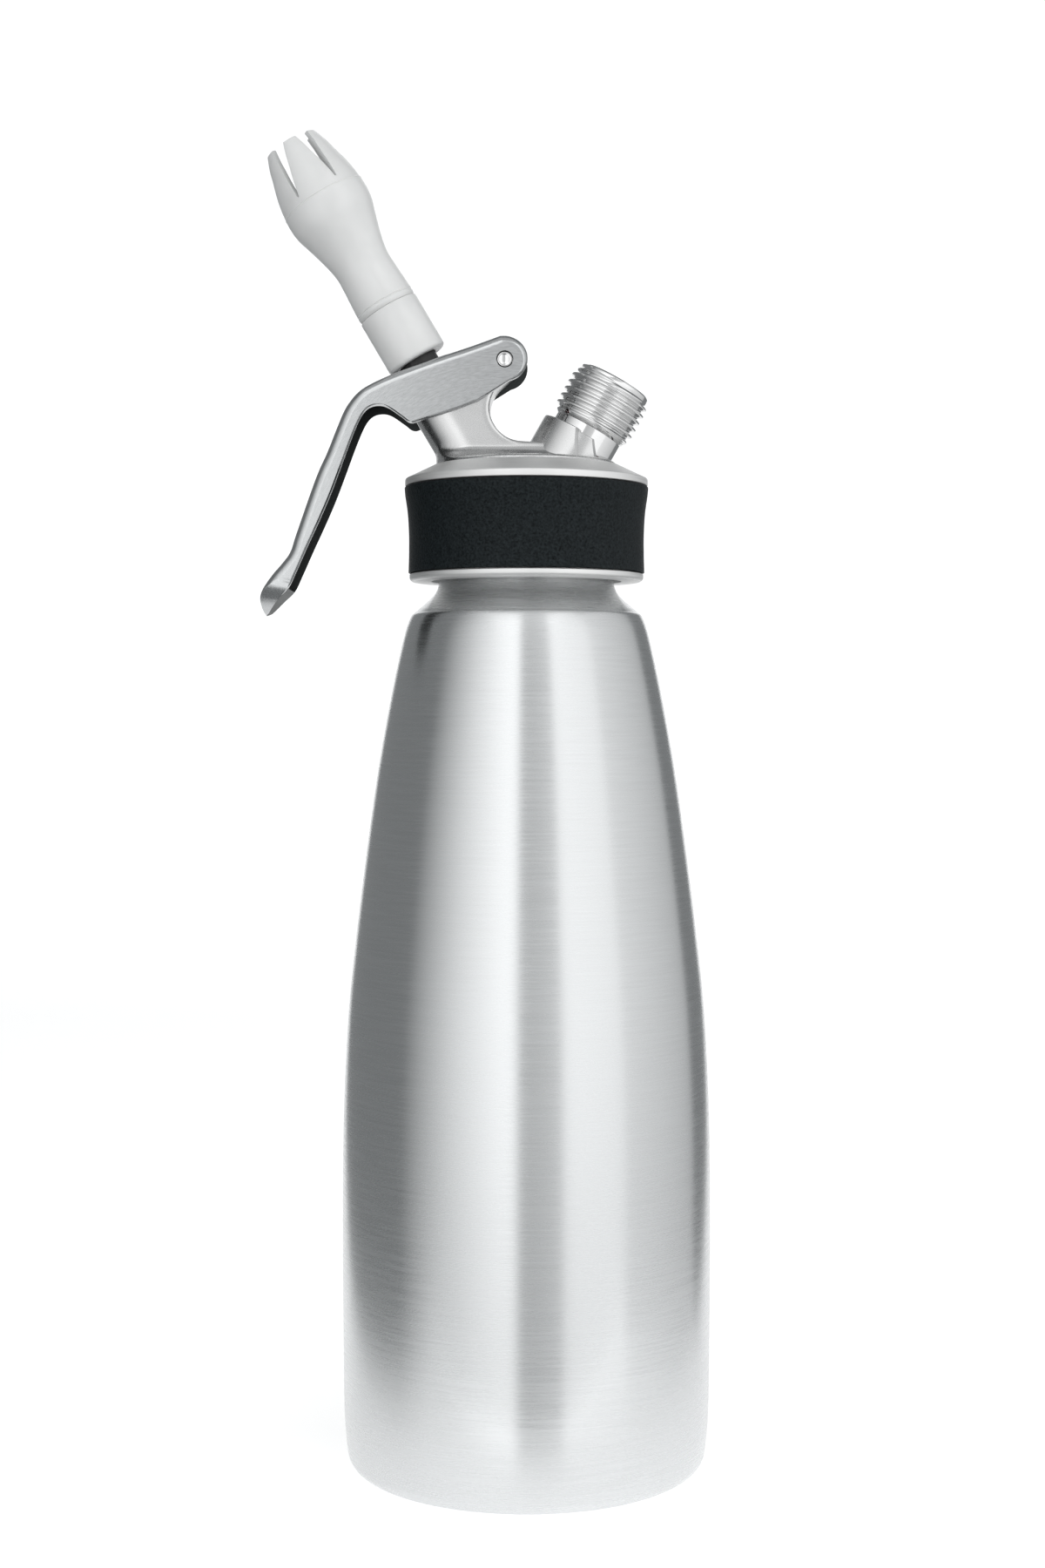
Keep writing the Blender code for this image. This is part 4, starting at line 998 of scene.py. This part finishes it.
def web_slot_cutter():
    """The slot through the web that the stem's sleeve passes through."""
    half = SLEEVE_R + WEB_SLOT_PLAY
    slot = [(x + WEB_SLOT_EXTRA, -y) for x, y in arc((0, 0), half, -90, 90, 24)]
    slot += [(x - WEB_SLOT_EXTRA, -y) for x, y in arc((0, 0), half, 90, 270, 24)]
    cutter = prism("web_slot", slot, SPRING_FLOOR, ADAPTER_TOP)
    cutter.matrix_world = nozzle_frame() @ Matrix.Rotation(math.radians(90), 4, "X")
    return cutter


def make_lever(metal, inside):
    """The lever, a channel with its web outside and rounded edges."""
    top = smooth(lever_points(LEVER_TOP_SHARES), LEVER_CURVE_STEPS)
    free = smooth(lever_points(LEVER_FREE_SHARES), LEVER_CURVE_STEPS)
    lever = place(lever_blank(top, free), PIN_X, PIN_Z)
    cut(lever, place(channel_cutter(top, free), PIN_X, PIN_Z))
    cut(lever, web_slot_cutter())
    cut(lever, tongue_cutter(top))
    reach = LEVER_HALF + OVERRUN
    cut(lever, across(rod("lever_hole", PIN_R + GAP, -reach, reach), PIN_X, PIN_Z))
    even_normals(lever)
    dress(lever, "lever", "lever", metal)
    # the second material is painted shade for the channel's inside and the tongue's underside
    lever.data.materials.append(inside)
    paint_channel_shade(lever, top)


def make_pin(look):
    """The lever's pin with a dimple in each end."""
    half = LEVER_HALF - GAP
    rim = half - PIN_DIMPLE_DEPTH
    pin = lathe("pin", soften([(0, -rim), (PIN_DIMPLE_R, -half), (PIN_R, -half), (PIN_R, half),
                               (PIN_DIMPLE_R, half), (0, rim)], EDGE / 2), SMALL_SIDES)
    dress(across(pin, PIN_X, PIN_Z), "head", "lever_pin", look)


def gap_to_line(point, line):
    """Distance from a flat point to the nearest place on a line of flat points."""
    point = Vector(point)
    nearest = []
    for start, end in zip(line, line[1:]):
        start, along = Vector(start), Vector(end) - Vector(start)
        share = (point - start).dot(along) / along.length_squared
        nearest.append((start + along * min(max(share, 0), 1) - point).length)
    return min(nearest)


def paint_channel_shade(lever, top):
    """Give the painted shade material to the channel's inner faces and to the underside of the tongue,
    where shade falls.
    """
    channel_end = top[-CHANNEL_STOP][1]
    for face in lever.data.polygons:
        x, y, z = face.center
        if abs(y) > LEVER_INNER + GAP / 3:
            continue
        if z > channel_end:
            off_web = gap_to_line((x, z), top) > LEVER_WALL / 2
            inside = off_web and math.hypot(x, z) > LEVER_CROWN_R + GAP
        else:
            inside = face.normal.x > abs(face.normal.z) / 2
        if inside:
            face.material_index = 1


def tongue_cutter(top):
    """A block round the handle's end whose inside is the tongue's half-round plan."""
    tip = Vector(lever_points(LEVER_TIP_SHARES)[0])
    along = (tip - Vector(top[-CHANNEL_STOP])).normalized()
    start = tip - along * TONGUE_LENGTH
    plan = [(wide * LEVER_HALF, tall * TONGUE_LENGTH) for wide, tall in arc((0, 0), 1, 0, 180, 40)]
    wide = LEVER_HALF + OVERRUN
    high = TONGUE_LENGTH + OVERRUN
    outline = [(wide, 0)] + plan + [(-wide, 0), (-wide, high), (wide, high)]
    deep = 3 * TONGUE_LENGTH
    cutter = prism("tongue_cutter", outline, -deep, deep)
    sideways = Vector((along.y, -along.x))
    cutter.matrix_world = Matrix(((0, sideways.x, along.x, PIN_X + start.x), (1, 0, 0, 0),
                                  (0, sideways.y, along.y, PIN_Z + start.y), (0, 0, 0, 1)))
    return cutter


def finish_inner_nodes(satin, polished, rubber, black):
    """Materials for the CAD nodes that stay."""
    looks = {"head_gasket": rubber, "stud_seal": rubber, "charger_seal": rubber, "check_disc": rubber,
             "stem_o_ring": rubber, "valve_seal": rubber, "piercing_pin": polished, "valve_stem": polished,
             "gas_jet": satin, "valve_nut": satin, "spring_retainer": satin, "tip_insert": satin,
             "guide_bush": black, "stem_sleeve": black}
    for name, look in looks.items():
        for index in range(len(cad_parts[name].material_slots)):
            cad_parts[name].material_slots[index].material = look


def area_lamp(name, width, height, brightness, where):
    """Hang a flat lamp that the camera doesn't see; at a brightness of 1 its reflection is white."""
    lamp = bpy.data.lights.new(name, "AREA")
    lamp.shape = "RECTANGLE"
    lamp.size = width
    lamp.size_y = height
    lamp.energy = brightness * math.pi * width * height
    made = add_object(name, lamp)
    made.visible_camera = False
    made.location = where
    return made


def softbox(name, from_deg, to_deg, start, end):
    """An upright lamp between two directions, counted from the camera's side towards +X.

    The directions are seen from the bottle, and the brightness runs from start to end.
    """
    width = 2 * SOFTBOX_DISTANCE * math.tan(math.radians(to_deg - from_deg) / 2)
    azimuth = math.radians((from_deg + to_deg) / 2)
    outward = Vector((math.sin(azimuth), -math.cos(azimuth), 0))
    middle = Vector((0, 0, SOFTBOX_HEIGHT / 2 + SOFTBOX_LIFT))
    made = area_lamp(name, width, SOFTBOX_HEIGHT, 1, outward * SOFTBOX_DISTANCE + middle)
    made.rotation_euler = (-outward).to_track_quat("-Z", "Y").to_euler()
    made.data.use_nodes = True
    tree = made.data.node_tree
    surface = tree.nodes.new("ShaderNodeNewGeometry")
    sideways = tree.nodes.new("ShaderNodeSeparateXYZ")
    tree.links.new(surface.outputs["Parametric"], sideways.inputs[0])
    gradient = add_node(tree.nodes, "ShaderNodeMapRange", To_Min=start, To_Max=end)
    tree.links.new(sideways.outputs["X"], gradient.inputs["Value"])
    tree.links.new(gradient.outputs["Result"], tree.nodes["Emission"].inputs["Strength"])


def white_surface():
    """White for the floor and backdrop: what the camera and reflections see is lifted to white."""
    made, tree, shader = start_material("studio_white", STUDIO_WHITE, 0.9, 0.0)
    shader.inputs["Specular IOR Level"].default_value = 0.0
    shader.inputs["Emission Color"].default_value = (1, 1, 1, 1)
    rays = tree.nodes.new("ShaderNodeLightPath")
    seen = math_node(tree, "MAXIMUM", rays.outputs["Is Glossy Ray"], rays.outputs["Is Transmission Ray"])
    seen = math_node(tree, "MAXIMUM", rays.outputs["Is Camera Ray"], seen)
    tree.links.new(math_node(tree, "MULTIPLY", seen, WHITE_LIFT), shader.inputs["Emission Strength"])
    return made


def make_sweep():
    """A white sheet that runs from in front of the bottle to the back and bends up there."""
    profile = [(SWEEP_FRONT_Y, 0)] + arc((SWEEP_BACK_Y - SWEEP_BEND, SWEEP_BEND), SWEEP_BEND, 270, 360, 24)
    profile += [(SWEEP_BACK_Y, SWEEP_HEIGHT)]
    builder = bmesh.new()
    edges = []
    for y, z in profile:
        share = (y - SWEEP_FRONT_Y) / (SWEEP_BACK_Y - SWEEP_FRONT_Y)
        half = SWEEP_FRONT_HALF + (SWEEP_BACK_HALF - SWEEP_FRONT_HALF) * share
        edges.append([builder.verts.new((x, y, z)) for x in (-half, half)])
    for near, far in zip(edges, edges[1:]):
        builder.faces.new((near[0], near[1], far[1], far[0]))
    sweep = new_object("sweep", builder)
    sweep.data.materials.append(white_surface())


def make_studio():
    """A white sweep, a grey room, the lamps and the camera."""
    make_sweep()
    world = bpy.data.worlds.new("studio")
    world.use_nodes = True
    world.node_tree.nodes["Background"].inputs["Color"].default_value = (*ROOM_GREY, 1)
    bpy.context.scene.world = world
    for values in SOFTBOXES:
        softbox(*values)
    area_lamp("overhead", OVERHEAD_SIZE, OVERHEAD_SIZE, OVERHEAD_BRIGHTNESS, (0, OVERHEAD_Y, OVERHEAD_Z))
    camera = add_object("camera", bpy.data.cameras.new("camera"))
    camera.location = CAMERA_PLACE
    camera.rotation_euler = (math.radians(90), 0, 0)
    camera.data.sensor_fit = "VERTICAL"
    camera.data.sensor_height = CAMERA_SENSOR_MM
    camera.data.lens = CAMERA_LENS_MM
    camera.data.shift_x = CAMERA_SHIFT_X
    camera.data.shift_y = CAMERA_SHIFT_Y
    camera.data.clip_start = 10 * MM
    bpy.context.scene.camera = camera
    bpy.context.scene.view_settings.view_transform = "Standard"


def main():
    brushed = turned_metal("bottle_brushed_steel", BOTTLE_STEEL, 0.27, 0.05, 0.002 * MM, 1800.0, 0.75)
    turned = turned_metal("turned_steel", TURNED_STEEL, 0.52, 0.04, 0.002 * MM)
    polished = turned_metal("polished_steel_look", POLISHED_STEEL, 0.11, 0.02, 0.0)
    rubber = moulded("seal_red_rubber", SEAL_RED, 0.55)
    black = moulded("black_plastic_look", PLASTIC_BLACK, 0.4)
    plastic = frosted()
    make_bottle(brushed)
    make_neck_thread(turned)
    make_cap(turned, silicone())
    make_casting(cast_metal())
    make_stud(polished)
    make_spring(polished)
    make_collar(plastic)
    make_tip(plastic)
    make_lever(lever_metal(), lever_painted_shade())
    make_pin(polished)
    finish_inner_nodes(turned, polished, rubber, black)
    make_studio()


main()
